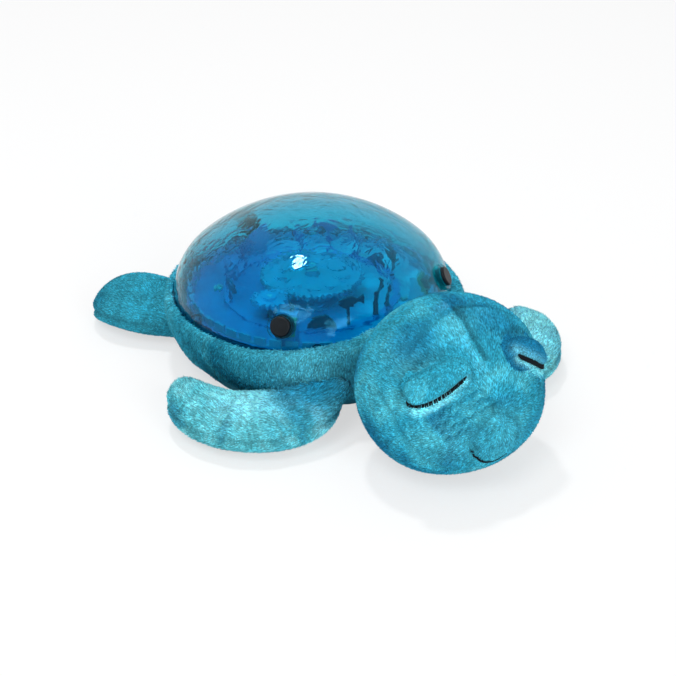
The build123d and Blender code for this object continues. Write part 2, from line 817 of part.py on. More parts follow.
def make_main_board():
    half_x = main_board_length / 2
    half_y = main_board_width / 2
    high = main_board_level + board_thickness
    board = block(-half_x, half_x, bay_center_y - half_y, bay_center_y + half_y, main_board_level, high)
    for x, y in main_board_posts():
        board -= rod(screw_radius, main_board_level, high, x, y)
    return board


def make_board_components():
    low = main_board_level + board_thickness
    x, y = capacitor_spot
    pieces = [rod(capacitor_radius, low, low + capacitor_height, x, bay_center_y + y)]
    for x, y, length, width, height in component_boxes:
        place = Pos(x, bay_center_y + y, low + height / 2)
        pieces.append(place * Box(length, width, height))
    return Compound(children=pieces)


# Groups of like screws
def make_dome_screws():
    seat = tub_top - flange_thickness
    reach = screw_reach + flange_thickness - screw_end_gap
    return Compound(children=[Pos(x, y, seat) * pan_screw(reach) for x, y in dome_screw_spots()])


def make_deck_screws():
    spots = [polar(deck_screw_circle, angle) for angle in deck_screw_angles]
    down = Rot(180, 0, 0)
    return Compound(children=[Pos(x, y, deck_top) * down * pan_screw(screw_reach) for x, y in spots])


def make_board_screws():
    seat = main_board_level + board_thickness
    reach = board_thickness + board_standoff - screw_end_gap
    down = Rot(180, 0, 0)
    return Compound(children=[Pos(x, y, seat) * down * pan_screw(reach) for x, y in main_board_posts()])


# Plush body: a swelling skirt round the tub that laps the dome's rim and rises at the neck
def body_form(grow):
    sections = []
    for lift, swell in body_steps:
        side = body_base_radius + (body_radius - body_base_radius) * swell + grow
        plane = Plane.XY.offset(lift * body_bulge_level)
        sections.append(oval(plane, side, side, side, side + neck_reach * min(1, 2 * lift)))
    return loft(sections)


def lamp_room():
    grow = cloth_gap
    bottom, top, rim, step = tub_outline(grow)
    step -= screw_head_height
    ceiling = rim_level + grow
    room = turned([(0, -grow), (bottom, -grow), (top, step), (rim, step), (rim, ceiling), (0, ceiling)])
    return room + dome_form(grow)


def hem_cut():
    """Everything above the plush edge: level at the sides and tail, an arch over the neck."""
    reach = 2 * body_radius
    foot = body_radius * 0.8
    shoulder = neck_level - (neck_level - collar_level) * 0.28
    crest = ThreePointArc((-neck_half_width, shoulder), (0, neck_level), (neck_half_width, shoulder))
    low_left = (-reach, collar_level)
    low_right = (reach, collar_level)
    left = Polyline((-reach, reach), low_left, (-foot, collar_level), crest @ 0)
    right = Polyline(crest @ 1, (foot, collar_level), low_right, (reach, reach), (-reach, reach))
    front = extrude(Plane.XZ * make_face([left, crest, right]), reach)
    rear = block(-reach, reach, 0, reach, collar_level, reach)
    return front + rear


def make_body_plush():
    return body_form(0) - lamp_room() - hem_cut()


def head_form(grow):
    level = head_half_height - floor_cut
    wide = head_half_width + grow
    deep = head_half_depth + grow
    tall = head_half_height + grow
    sections = [Vertex(head_x, head_y - deep, level * (1 - snout_drop))]
    for angle in head_slices:
        ring = cos(radians(angle))
        forward = max(0.0, -sin(radians(angle)))
        slice_y = head_y + deep * sin(radians(angle))
        slice_z = level - level * snout_drop * forward ** 3
        plane = Plane(origin=(head_x, slice_y, slice_z), x_dir=(1, 0, 0), z_dir=(0, -1, 0))
        low = min(tall * ring, slice_z + floor_cut)
        sections.append(oval(plane, wide * ring, tall * ring, wide * ring, low))
    sections.append(Vertex(head_x, head_y + deep, level))
    return loft(sections)


def make_head_plush():
    return above_floor(head_form(0)) - body_form(cloth_gap)


def make_eyelid(side):
    across = side * lid_x
    rise = lid_level - head_half_height
    forward = -head_half_depth * sqrt(1 - (across / head_half_width) ** 2 - (rise / head_half_height) ** 2)
    normal = (across / head_half_width ** 2, forward / head_half_depth ** 2, rise / head_half_height ** 2)
    level_way = (-normal[1], normal[0], 0)
    spot = Plane(origin=(head_x + across, head_y + forward, lid_level), x_dir=level_way, z_dir=normal)
    outline = Rot(0, 0, -side * lid_slant) * SlotOverall(lid_length, lid_width)
    prism = extrude(spot * outline, lid_width, both=True)
    return (head_form(lid_proud) & prism) - head_form(cloth_gap)


# Front flipper: a curved paddle that leaves the shoulder sideways and sweeps back
def front_flipper(turn, shift):
    sections = []
    for angle, wide, thick, lift in front_stations:
        half_chord = wide * front_half_chord
        half_thickness = thick * front_half_thickness
        level = half_thickness - floor_cut + lift * front_half_thickness
        x, y = polar(front_curve_radius, angle)
        out = (cos(radians(angle)), sin(radians(angle)), 0)
        along = (sin(radians(angle)), -cos(radians(angle)), 0)
        plane = Plane(origin=(front_shoulder[0] + x, front_shoulder[1] + y, level), x_dir=out, z_dir=along)
        sections.append(oval(plane, half_chord, half_thickness, half_chord, half_thickness))
    x, y = polar(front_curve_radius, front_tip_turn)
    tip_level = front_tip_lift * front_half_thickness
    sections.append(Vertex(front_shoulder[0] + x, front_shoulder[1] + y, tip_level))
    pivot_x, pivot_y = flipper_pivot
    place = Pos(pivot_x + shift[0], pivot_y + shift[1]) * Rot(0, 0, turn) * Pos(-pivot_x, -pivot_y)
    return place * above_floor(loft(sections)) - body_form(cloth_gap)


def rear_flipper():
    run_x = rear_root[0] - rear_tip[0]
    run_y = rear_tip[1] - rear_root[1]
    length = hypot(run_x, run_y)
    along = (run_x / length, run_y / length, 0)
    across = (run_y / length, -run_x / length, 0)
    sections = []
    for share, wide, thick in rear_stations:
        half_chord = wide * rear_half_chord
        half_thickness = thick * rear_half_thickness
        origin = (-rear_root[0] + run_x * share, rear_root[1] + run_y * share, half_thickness - floor_cut)
        plane = Plane(origin=origin, x_dir=across, z_dir=along)
        sections.append(oval(plane, half_chord, half_thickness, half_chord, half_thickness))
    sections.append(Vertex(-rear_tip[0], rear_tip[1], rear_tip_lift * rear_half_thickness))
    return above_floor(loft(sections)) - body_form(cloth_gap)


def make_tail_plush():
    start = body_radius * 0.8
    end = body_radius + tail_length
    sections = []
    for share, swell in tail_stations:
        radius = tail_radius * swell
        spot = (0, start + (end - start) * share, radius - floor_cut)
        plane = Plane(origin=spot, x_dir=(-1, 0, 0), z_dir=(0, 1, 0))
        sections.append(oval(plane, radius, radius * tail_flatness, radius, radius))
    sections.append(Vertex(0, end, tail_tip_lift * tail_radius))
    return above_floor(loft(sections)) - body_form(cloth_gap)


right_flipper = front_flipper(0, (0, 0))
right_rear = rear_flipper()
nodes = {
    "dome_shell": make_dome_shell(),
    "lamp_tub": make_tub(),
    "battery_door": make_battery_door(),
    "door_screw": make_door_screw(),
    "battery_cells": make_cells(),
    "battery_contacts": make_contacts(),
    "deck_plate": make_deck_plate(),
    "light_baffle": make_light_baffle(),
    "scenery_ring": make_scenery_ring(),
    "projector_tower": make_projector_tower(),
    "lamp_board": make_lamp_board(),
    "lamps": make_lamps(),
    "ripple_disc": make_ripple_disc(),
    "disc_axle": make_disc_axle(),
    "axle_ring": make_axle_ring(),
    "drive_pinion": make_drive_pinion(),
    "output_shaft": make_output_shaft(),
    "gearbox": make_gearbox(),
    "motor": make_motor(),
    "speaker_basket": make_speaker_basket(),
    "speaker_cone": make_speaker_cone(),
    "speaker_magnet": make_speaker_magnet(),
    "main_board": make_main_board(),
    "board_components": make_board_components(),
    "dome_screws": make_dome_screws(),
    "deck_screws": make_deck_screws(),
    "board_screws": make_board_screws(),
    "push_switches": Compound(children=[spot.location * switch() for spot in button_planes.values()]),
    "switch_boards": Compound(children=[spot.location * switch_board() for spot in button_planes.values()]),
    "body_plush": make_body_plush(),
    "head_plush": make_head_plush(),
    "eyelid_right": make_eyelid(-1),
    "eyelid_left": make_eyelid(1),
    "flipper_front_right": right_flipper,
    "flipper_front_left": mirror(front_flipper(left_flipper_turn, left_flipper_shift), Plane.YZ),
    "flipper_rear_right": right_rear,
    "flipper_rear_left": mirror(right_rear, Plane.YZ),
    "tail_plush": make_tail_plush(),
}
for name, plane in button_planes.items():
    nodes["button_" + name] = plane.location * button_cap()

os.makedirs("parts", exist_ok=True)
for name, shape in nodes.items():
    export_step(shape, "parts/" + name + ".step")
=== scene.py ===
import math
from functools import partial

import bpy
import numpy as np
from bpy.props import FloatProperty, FloatVectorProperty, IntProperty, PointerProperty
from mathutils import Matrix, Vector


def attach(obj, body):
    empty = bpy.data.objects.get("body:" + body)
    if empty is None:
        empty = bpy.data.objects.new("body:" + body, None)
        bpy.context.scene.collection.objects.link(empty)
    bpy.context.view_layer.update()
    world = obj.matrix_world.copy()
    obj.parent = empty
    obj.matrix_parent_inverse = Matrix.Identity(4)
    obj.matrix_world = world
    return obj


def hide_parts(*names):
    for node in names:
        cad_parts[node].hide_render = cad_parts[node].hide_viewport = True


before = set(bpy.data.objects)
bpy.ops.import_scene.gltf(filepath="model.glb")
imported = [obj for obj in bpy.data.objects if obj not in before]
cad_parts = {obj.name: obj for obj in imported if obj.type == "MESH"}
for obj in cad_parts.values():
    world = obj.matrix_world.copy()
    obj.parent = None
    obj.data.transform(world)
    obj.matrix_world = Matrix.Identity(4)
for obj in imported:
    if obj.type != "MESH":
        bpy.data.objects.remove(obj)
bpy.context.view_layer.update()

bl_info = {
    "name": "Plush turtle night light",
    "version": (1, 0, 0),
    "blender": (4, 5, 0),
    "location": "View3D > Sidebar > Night light",
    "description": "Stuffed pieces, clear shell and finishes of a turtle night light",
    "category": "Object",
}

LAMP = "lamp_body"
FLAT_MAP = "OFBake"
bare_skins = {}

# Landmarks of the sewing, in millimetres in the part's frame
HEAD_MIDDLE = -2.5
MUZZLE_MIDDLE = HEAD_MIDDLE - 4
EYE_LINE = ((-51, -179, 66), (-47, -184, 66.5), (-40, -189, 70), (-33, -192, 74.5), (-25, -193, 79.5),
            (-21, -193, 81.5))
FAR_EYE_DROP = (3.5, 2.5, 1.2, 0.0, -1.0, -1.8)
LOWER_LID = (-1.6, -2.0, -3.4)
LID_LENGTH = 44.0
LID_WIDTH = 24.0
SOCKET_RISE = LID_WIDTH * 0.78
SOCKET_LEAN = (0.0, 0.55, 0.83)
SOCKET_FOLD = ((-0.04, 0.25), (0.12, 0.68), (0.32, 0.92), (0.6, 1.0), (0.85, 0.8), (1.08, 0.35))
CROWN_SEAM = ((-5, -160, 107), (-6, -173, 103), (-7, -183, 98), (-5, -194, 89))
BROW_SEAM = ((-5, -160, 107), (-15, -161, 105), (-25, -162, 102), (-33, -164, 98), (-42, -167, 91))
JAW_SEAM = ((-58, -160, 66), (-56, -172, 57), (-53, -179, 46), (-43, -186, 32), (-28, -194, 20))
NOSE_SEAM = ((-8, -206, 60), (-15, -206, 56), (-20, -204, 50), (-22, -203, 43), (-20, -204, 38))
MOUTH = ((-22, -203, 37), (-18, -203, 33), (-13, -202, 28), (-5, -201, 24))
WRINKLES = (
    ((-42, -191, 58), (-36, -195, 63), (-24, -199, 70), (-13, -202, 73)),
    ((-40, -194, 53), (-33, -198, 59), (-22, -202, 66), (-8, -205, 68)),
    ((-38, -196, 49), (-29, -201, 55), (-18, -204, 61), (-3, -206, 63)),
    ((-35, -198, 45), (-27, -202, 50), (-22, -204, 54)),
)
NOSE_TIP = (HEAD_MIDDLE, -206, 52)
# Place, reach and height of the two cheeks and the muzzle
MOUNDS = (((36, -180, 30), (26, 26, 22), 3.5), ((-41, -180, 30), (26, 26, 22), 3.5),
          ((MUZZLE_MIDDLE, -204, 42), (15, 16, 15), 5.5))
SHOULDER = (-67.0, -40.0)
SHOULDER_PIVOT = (-40.0, -76.0)
LEFT_TURN = 24.0
LEFT_SHIFT = (4.0, -6.0)
FLIPPER_CURVE = 44.0
# Angle round the shoulder, half width and level
FLIPPER_EDGE = ((-60, 25, 24), (-78, 27, 19), (-96, 28, 17), (-115, 29, 16), (-132, 28, 15.5),
                (-150, 26, 16), (-166, 23, 16), (-180, 20, 17), (-194, 16, 17), (-204, 12, 17.5))
FLIPPER_TIP = (-212, FLIPPER_CURVE, 17.0)
FLIPPER_CREASES = (-143.0, -126.5, -103.0)
CREASE_RUN = (-8, 4, 15, 22)
CREASE_LEVEL = 31.0
REAR_ROOT = (52.0, 52.0)
REAR_TIP = (94.0, 124.0)
REAR_TIP_LEVEL = 8.0
# Share of the way to the tip, half width and level
REAR_EDGE = ((0.25, 27, 16), (0.45, 30.5, 17), (0.6, 32, 17), (0.72, 30, 16), (0.82, 26, 15), (0.95, 15, 10))
REAR_CREASE_SHARE = 0.42
REAR_CREASE_RUN = (-14, -5, 5, 14)
REAR_CREASE_LEVEL = 33.0
TAIL_EDGE = ((-11, 98, 7), (-7, 112, 7), (0, 120, 7), (7, 112, 7), (11, 98, 7))

# Grooves by width and depth in metres, painted shading by width in metres and change of shading: a negative
# change paints shade into a groove, a positive one paints a highlight on a ridge or lid
SEAM_GROOVE, SEAM_SHADE = (0.0019, 0.0019), (0.0017, -0.42)
NOSE_GROOVE, NOSE_SHADE = (0.002, 0.0026), (0.0022, -0.48)
WRINKLE_GROOVE, WRINKLE_SHADE = (0.0017, 0.0034), (0.0014, -0.6)
SOCKET_GROOVE, SOCKET_SHADE = (0.004, 0.002), (0.0035, -0.3)
ROLL_RIDGE, ROLL_SHADE = (0.003, -0.0022), (0.0038, 0.5)
MOUTH_GROOVE = (0.0016, 0.0014)
EDGE_GROOVE, EDGE_SHADE = (0.0026, 0.0028), (0.0024, -0.5)
CREASE_DIP, CREASE_GROOVE, CREASE_SHADE = (0.0065, 0.0034), (0.0026, 0.0036), (0.003, -0.5)
REAR_GROOVE, REAR_CREASE_GROOVE, REAR_SHADE = (0.0022, 0.0014), (0.0035, 0.0034), (0.002, -0.32)
TAIL_GROOVE = (0.002, 0.0012)
LASH_SHADE, LASH_OFFSET = (0.0045, 0.24), (0.0, 0.001, 0.003)
UNDER_SHADE, UNDER_OFFSET = (0.0028, 0.32), (0.0, 0.0, -0.0028)
# Painted highlight on the low-x side of the crown seam and painted shade on the other, as pile brushed two
# ways catches the light, and how far from it they reach
CROWN_SIDES = (0.14, -0.18, 0.013)

# Reach within which a sewn line keeps the pile short, in metres
SEAM_ROOM = 0.0046
WRINKLE_ROOM = 0.0038
EDGE_ROOM = 0.007
CREASE_ROOM = 0.009
REAR_CREASE_ROOM = 0.006

# Cloth run and pile: lengths in metres, ranges as shares
SEWN_STEP = 0.002
HELD_REACH = 0.0022
CLOTH_FRAMES = 20
CLOTH_QUALITY = 6
FLOOR_GAP = 0.0003
TUFT_STRAY = 0.19
TUFT_STAND = (0.16, 0.44)
TUFT_REACH = (0.7, 1.25)
TUFT_WIDTH = (0.75, 1.3)
TUFT_BARE = 0.26
TUFT_SHORTEST = 0.35
TUFT_FACES = np.array([(0, 2, 3), (2, 1, 3), (1, 0, 3), (0, 1, 2)])
# Painted shade at the root of each tuft and painted highlight at its tip, by its four corners
TUFT_SHADES = (0.15, 0.15, 0.5, 1.0)

# Eyelids, in metres
LID_HEIGHTS = {"right": 0.0092, "left": 0.005}
LID_CLIMB = 0.02
LID_HEM = 0.0034
LID_FOLD = 0.006
LOWER_HEIGHT = 0.0022
LOWER_HEM = 0.0025
LID_LIP = 0.0012
LID_SUNK = 0.0012
LID_BACK = 0.0004
LID_FRONT = 0.0016

# Embroidery, in metres
THREAD_RADIUS = 0.00052
THREAD_ROUND = 0.00022
THREAD_STEP = 0.0009
THREAD_LIFT = 0.0014
EYE_STITCH = 0.0019
MOUTH_STITCH = 0.0006

# Stage, in metres: name, setting of its power, place and width of each lamp
LAMPS = (("key_lamp", "key", (-1.7, -1.2, 2.6), 1.5), ("fill_lamp", "fill", (-0.3, -2.9, 1.3), 1.6),
         ("flash", "flash", (-0.019, 0.308, 1.553), 0.16))
LAMP_AIM = (0.0, -0.03, 0.04)
FLOOR_SIZE = 12.0
FLOOR_DROP = -0.0002

measure = partial(FloatProperty, unit="LENGTH")
power = partial(FloatProperty, unit="POWER")
share_of = partial(FloatProperty, subtype="FACTOR")
angle_of = partial(FloatProperty, subtype="ANGLE")
dye = partial(FloatVectorProperty, size=3, subtype="COLOR")


class PlushSettings(bpy.types.PropertyGroup):
    """Sizes and dyes of the stuffed pieces."""

    skin_grid: measure(name="Skin grid", description="Spacing of the skin before it is refined",
                       default=0.004)
    head_grid: measure(name="Head grid", description="Spacing of the head's skin before it is refined",
                       default=0.003)
    hem_grid: measure(name="Hem grid", description="Spacing of the body's thin skin", default=0.0025)
    lid_grid: measure(name="Lid grid", description="Spacing of the eyelids' skin", default=0.0013)
    pressure: FloatProperty(name="Stuffing", description="Pressure of the stuffing in the cloth run",
                            default=4.0)
    take_in: measure(name="Take in", description="How far a skin is drawn in before it is stuffed",
                     default=0.0015)
    swell: measure(name="Swell", description="Furthest that stuffing moves the skin", default=0.0032)
    pile_length: measure(name="Pile length", description="Length of a tuft of the pile", default=0.0027)
    pile_width: measure(name="Pile width", description="Half width of a tuft at its root", default=0.00036)
    pile_count: FloatProperty(name="Pile count", description="Tufts in a square metre", default=1750000.0)
    seed: IntProperty(name="Seed", description="Seed of the pile's scatter", default=7)
    head_deep: dye(name="Head deep dye", description="Darkest dye on the head", default=(0.008, 0.20, 0.37))
    head_mid: dye(name="Head dye", description="Main dye on the head", default=(0.034, 0.41, 0.57))
    head_pale: dye(name="Head pale dye", description="Palest dye on the head", default=(0.12, 0.62, 0.73))
    limb_deep: dye(name="Limb deep dye", description="Darkest dye on the limbs", default=(0.010, 0.27, 0.45))
    limb_mid: dye(name="Limb dye", description="Main dye on the limbs", default=(0.10, 0.53, 0.62))
    limb_pale: dye(name="Limb pale dye", description="Palest dye on the limbs", default=(0.36, 0.92, 0.99))
    body_deep: dye(name="Body deep dye", description="Darkest dye on the body", default=(0.012, 0.22, 0.34))
    body_mid: dye(name="Body dye", description="Main dye on the body", default=(0.035, 0.34, 0.46))
    body_pale: dye(name="Body pale dye", description="Palest dye on the body", default=(0.11, 0.54, 0.66))
    thread: dye(name="Thread", description="Embroidery thread", default=(0.004, 0.006, 0.008))


class ShellSettings(bpy.types.PropertyGroup):
    """Colours and relief of the shell and of what stands in it."""

    tint: dye(name="Shell tint", description="Tint of one wall of the shell", default=(0.012, 0.62, 0.78))
    deck: dye(name="Deck", description="Colour of the deck under the shell", default=(0.003, 0.2, 0.44))
    # Painted light: the deck's left side is painted paler, as if lit through the shell's far wall
    deck_painted_light: dye(name="Deck painted light", description="Colour of the deck's left side", default=(0.04, 0.6, 0.72))
    scenery: dye(name="Scenery", description="Colour of the scenery", default=(0.003, 0.04, 0.07))
    haze: share_of(name="Haze", description="Share of milky plastic in the left of the shell", default=0.22)
    ripple_size: FloatProperty(name="Ripple size", description="Ripples in a metre of the shell",
                               default=58.0)
    ripple_depth: measure(name="Ripple depth", description="Depth of the ripples", default=0.00042)
    tub: dye(name="Tub", description="Colour of the tub and its door", default=(0.05, 0.2, 0.27))


class StageSettings(bpy.types.PropertyGroup):
    """Camera, lamps and floor."""

    azimuth: angle_of(name="Azimuth", description="Camera's turn round the light",
                      default=math.radians(-33.0))
    elevation: angle_of(name="Elevation", description="Camera's height as an angle",
                        default=math.radians(29.0))
    distance: measure(name="Distance", description="From the aim point to the camera", default=1.3)
    lens: FloatProperty(name="Lens", description="Focal length in millimetres", default=107.3)
    aim: FloatVectorProperty(name="Aim", description="Point in the middle of the picture", size=3,
                             subtype="XYZ", default=(0.005891, -0.021728, 0.017915))
    floor: dye(name="Floor", description="Colour of the floor", default=(0.93, 0.935, 0.94))
    whiteness: share_of(name="Whiteness", description="Share of plain white in the floor as seen",
                        default=0.62)
    sky: FloatProperty(name="Sky", description="Strength of the even light", default=0.5)
    key: power(name="Key", description="Power of the large lamp", default=34.0)
    fill: power(name="Fill", description="Power of the fill lamp", default=33.0)
    flash: power(name="Flash", description="Power of the small lamp overhead", default=7.0)


class Flow:
    """A shader socket that Python's operators can reckon with."""

    def __init__(self, nodes, socket):
        self.nodes = nodes
        self.socket = socket

    def reckon(self, operation, first, second):
        return self.nodes.node("ShaderNodeMath", {"operation": operation}, {0: first, 1: second})

    def __add__(self, other):
        return self.reckon("ADD", self, other)

    def __radd__(self, other):
        return self.reckon("ADD", other, self)

    def __sub__(self, other):
        return self.reckon("SUBTRACT", self, other)

    def __rsub__(self, other):
        return self.reckon("SUBTRACT", other, self)

    def __mul__(self, other):
        return self.reckon("MULTIPLY", self, other)

    def __rmul__(self, other):
        return self.reckon("MULTIPLY", other, self)

    def __pow__(self, other):
        return self.reckon("POWER", self, other)

    def __or__(self, other):
        return self.reckon("MAXIMUM", self, other)


class Nodes:
    """A node tree and the one way in which a node is added to it."""

    def __init__(self, tree):
        self.tree = tree

    def feed(self, socket, value):
        if isinstance(value, Flow):
            self.tree.links.new(value.socket, socket)
        elif hasattr(value, "__len__") and len(value) == 3 and len(socket.default_value) == 4:
            socket.default_value = (*value, 1.0)
        else:
            socket.default_value = value

    def node(self, kind, setup=None, sockets=None, out=0):
        made = self.tree.nodes.new(kind)
        for key, value in (setup or {}).items():
            setattr(made, key, value)
        for key, value in (sockets or {}).items():
            self.feed(made.inputs[key], value)
        return Flow(self, made.outputs[out])


class Finish(Nodes):
    """A procedural material."""

    def __init__(self, name, **fixed):
        self.material = bpy.data.materials.new(name)
        self.material.use_nodes = True
        super().__init__(self.material.node_tree)
        self.surface = self.tree.nodes["Principled BSDF"]
        self.solid = Flow(self, self.surface.outputs[0])
        self.place = None
        for key, value in fixed.items():
            self.feed(self.surface.inputs[key.replace("_", " ")], value)

    def where(self, stretch=(1.0, 1.0, 1.0), shift=(0.0, 0.0, 0.0)):
        if self.place is None:
            self.place = self.node("ShaderNodeTexCoord", out="Object")
        return self.node("ShaderNodeMapping", None,
                         {"Vector": self.place, "Scale": stretch, "Location": shift})

    def axis(self, name):
        return self.node("ShaderNodeSeparateXYZ", None, {"Vector": self.where()}, out=name)

    def noise(self, scale, detail=2.0, rough=0.5, warp=0.0, stretch=(1.0, 1.0, 1.0), shift=(0.0, 0.0, 0.0)):
        return self.node("ShaderNodeTexNoise", None, {
            "Vector": self.where(stretch, shift), "Scale": scale, "Detail": detail, "Roughness": rough,
            "Distortion": warp})

    def attribute(self, name):
        return self.node("ShaderNodeAttribute", {"attribute_name": name}, out="Fac")

    def between(self, value, low, high):
        return self.node("ShaderNodeMapRange", {"interpolation_type": "SMOOTHSTEP"}, {
            "Value": value, "From Min": low, "From Max": high})

    def mix(self, share, first, second, blend="MIX"):
        return self.node("ShaderNodeMix", {"data_type": "RGBA", "blend_type": blend},
                         {0: share, 6: first, 7: second}, out=2)

    def near(self, spot, reach):
        """1 at a spot given in millimetres, falling to 0 at its reach."""
        gap = self.node("ShaderNodeVectorMath", {"operation": "DISTANCE"},
                        {0: self.where(), 1: [value / 1000 for value in spot]}, out="Value")
        return self.between(gap, reach / 1000, 0.0)

    def relief(self, height, depth):
        bump = self.node("ShaderNodeBump", None, {"Height": height, "Distance": depth, "Strength": 1.0})
        self.feed(self.surface.inputs["Normal"], bump)

    def colour(self, value):
        self.feed(self.surface.inputs["Base Color"], value)

    def rough(self, value):
        self.feed(self.surface.inputs["Roughness"], value)

    def either(self, share, first, second):
        return self.node("ShaderNodeMixShader", None, {0: share, 1: first, 2: second})

    def show(self, shader):
        self.feed(self.tree.nodes["Material Output"].inputs["Surface"], shader)


def times(colour, factor):
    return [value * factor for value in colour]


def moulded(name, colour, rough=0.4, grain=900.0, depth=0.00008, **fixed):
    """Moulded plastic: faint flow marks, a fine grain and an uneven shine."""
    finish = Finish(name, **fixed)
    flow = finish.noise(38.0, 3.0, 0.55, 0.8)
    grains = finish.noise(grain, 2.0, 0.6)
    pale = [min(1.0, value * 1.12 + 0.004) for value in colour]
    finish.colour(finish.mix(finish.between(flow, 0.3, 0.7), times(colour, 0.82), pale))
    finish.rough(rough - 0.07 + 0.14 * flow)
    finish.relief(grains, depth)
    return finish.material


def plated(name, colour, rough=0.3):
    """Plated or drawn metal with fine lines."""
    finish = Finish(name, Metallic=1.0)
    lines = finish.noise(260.0, 3.0, 0.6, 0.0, (1.0, 1.0, 30.0))
    stain = finish.noise(55.0, 3.0, 0.6)
    finish.colour(finish.mix(finish.between(stain, 0.35, 0.75), colour, times(colour, 0.8)))
    finish.rough(rough - 0.08 + 0.2 * lines)
    finish.relief(lines, 0.00003)
    return finish.material


def plush(name, deep, mid, pale, shift, spots=()):
    """Short dyed pile: cloudy dye, painted shade at the roots and painted highlights at the tips, and tufts
    that differ.

    Each spot is a place and a reach in millimetres, a share and a colour; on the head the spots paint light
    and shade.
    """
    finish = Finish(name, Roughness=0.9, Sheen_Weight=0.08, Sheen_Roughness=0.4, Specular_IOR_Level=0.15,
                    Sheen_Tint=pale)
    cloud = finish.noise(24.0, 4.0, 0.55, 0.7, shift=shift)
    wash = finish.noise(58.0, 3.0, 0.6, 0.4, shift=shift)
    clump = finish.noise(480.0, 2.0, 0.6, 0.5)
    brushed = finish.noise(125.0, 2.0, 0.55, 1.2, shift=shift)
    dye_and_painted_light = finish.mix(finish.between(cloud, 0.30, 0.52), deep, mid)
    dye_and_painted_light = finish.mix(finish.between(cloud * 0.65 + wash * 0.35, 0.47, 0.68), dye_and_painted_light, pale)
    # Spots that paint patches paler or darker; on the head they are painted light and shade
    for spot, reach, share, colour in spots:
        dye_and_painted_light = finish.mix(finish.near(spot, reach) * share, dye_and_painted_light, colour)
    # Painted highlight: paler and more cyan where the shading was raised, on ridges and lids
    glow = finish.between(finish.attribute("pile_tone"), 0.5, 1.0)
    dye_and_painted_light = finish.mix(glow * 0.85, dye_and_painted_light, (0.27, 0.82, 0.9))
    # Painted shade: darker where the shading was lowered, in grooves
    depth = finish.between(finish.attribute("pile_tone"), 0.5, 0.0)
    # Painted shade at the roots, painted highlight at the tips, and a random tint for each tuft
    lit = 0.08 + 1.05 * finish.attribute("pile_tip") + 1.15 * finish.attribute("pile_tint")
    shade = lit * (0.6 + 0.78 * clump) * (0.56 + 0.86 * brushed) * (1.0 - 0.66 * depth) * (1.0 + 0.4 * glow)
    grey = finish.node("ShaderNodeCombineColor", None, {0: shade, 1: shade, 2: shade})
    finish.colour(finish.mix(1.0, dye_and_painted_light, grey, "MULTIPLY"))
    finish.relief(clump, 0.0005)
    return finish.material


def only(piece):
    """Selects one object and makes it the active one."""
    bpy.ops.object.select_all(action="DESELECT")
    piece.select_set(True)
    bpy.context.view_layer.objects.active = piece


def apply(piece, kind, **values):
    """Adds a modifier to a piece and applies it."""
    modifier = piece.modifiers.new(kind.lower(), kind)
    for key, value in values.items():
        setattr(modifier, key, value)
    only(piece)
    bpy.ops.object.modifier_apply(modifier=modifier.name)


def refine(piece):
    apply(piece, "SUBSURF", levels=1, render_levels=1)


def whole_mesh(piece):
    """Opens a piece in edit mode with all of it selected."""
    only(piece)
    bpy.ops.object.mode_set(mode="EDIT")
    bpy.ops.mesh.select_all(action="SELECT")


def paint(node, material):
    """Gives a node of the frame its material."""
    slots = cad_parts[node].data.materials
    slots.clear()
    slots.append(material)


def dress(piece, material, nodes=()):
    """Gives a finished piece its material, its body and what it stands for."""
    piece.data.materials.clear()
    piece.data.materials.append(material)
    if nodes:
        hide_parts(*nodes)
    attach(piece, LAMP)


def numbers(items, key, width=3, kind=float):
    """One field of every item in a collection, a row for each."""
    values = np.empty(len(items) * width, kind)
    items.foreach_get(key, values)
    return values.reshape(-1, width) if width > 1 else values


def spots_of(piece):
    return numbers(piece.data.vertices, "co")


def normals_of(piece):
    return numbers(piece.data.vertex_normals, "vector")


def shading_of(piece):
    return numbers(piece.data.attributes["pile_tone"].data, "value", 1, np.float32)


def mark(mesh, name, values):
    """Writes a number for each vertex of a mesh."""
    field = mesh.attributes.get(name) or mesh.attributes.new(name, "FLOAT", "POINT")
    field.data.foreach_set("value", values.astype(np.float32))


def move_to(piece, spots):
    piece.data.vertices.foreach_set("co", np.ascontiguousarray(spots, dtype=np.float32).ravel())
    piece.data.update()


def metres(points):
    return np.array(points, float) / 1000


def mirrored(line, middle=HEAD_MIDDLE):
    """A line of points in millimetres on the other side of the head."""
    return [(2 * middle - x, y, z) for x, y, z in line]


def along(line, step=SEWN_STEP):
    """Points at an even step, in metres, along a smooth line through points in millimetres."""
    smooth = metres(line)
    for _ in range(3):
        cut = [smooth[0]]
        for first, second in zip(smooth[:-1], smooth[1:]):
            cut += [first * 0.75 + second * 0.25, first * 0.25 + second * 0.75]
        smooth = np.array(cut + [smooth[-1]])
    gaps = np.linalg.norm(np.diff(smooth, axis=0), axis=1)
    run = np.concatenate([[0.0], np.cumsum(gaps)])
    stops = np.linspace(0.0, run[-1], max(2, int(run[-1] / step) + 1))
    return np.stack([np.interp(stops, run, smooth[:, axis]) for axis in range(3)], axis=1)


def gap_to(spots, line):
    """Distance from each spot to a line of points."""
    best = np.full(len(spots), 1e9)
    for first, second in zip(line[:-1], line[1:]):
        way = second - first
        share = np.clip(((spots - first) @ way) / max(way @ way, 1e-12), 0.0, 1.0)
        best = np.minimum(best, np.linalg.norm(spots - first - share[:, None] * way, axis=1))
    return best


def fading(spots, line, width):
    """1 on a line, falling to nothing beside it."""
    return np.exp(-(gap_to(spots, line) / width) ** 2)


def pucker(line, swing=0.0009, wave=0.0075):
    """A line that swings up and down as gathered cloth does."""
    run = np.linspace(0.0, np.linalg.norm(np.diff(line, axis=0), axis=1).sum(), len(line))
    swung = line.copy()
    swung[:, 2] += swing * np.sin(run * 2 * math.pi / wave)
    return swung


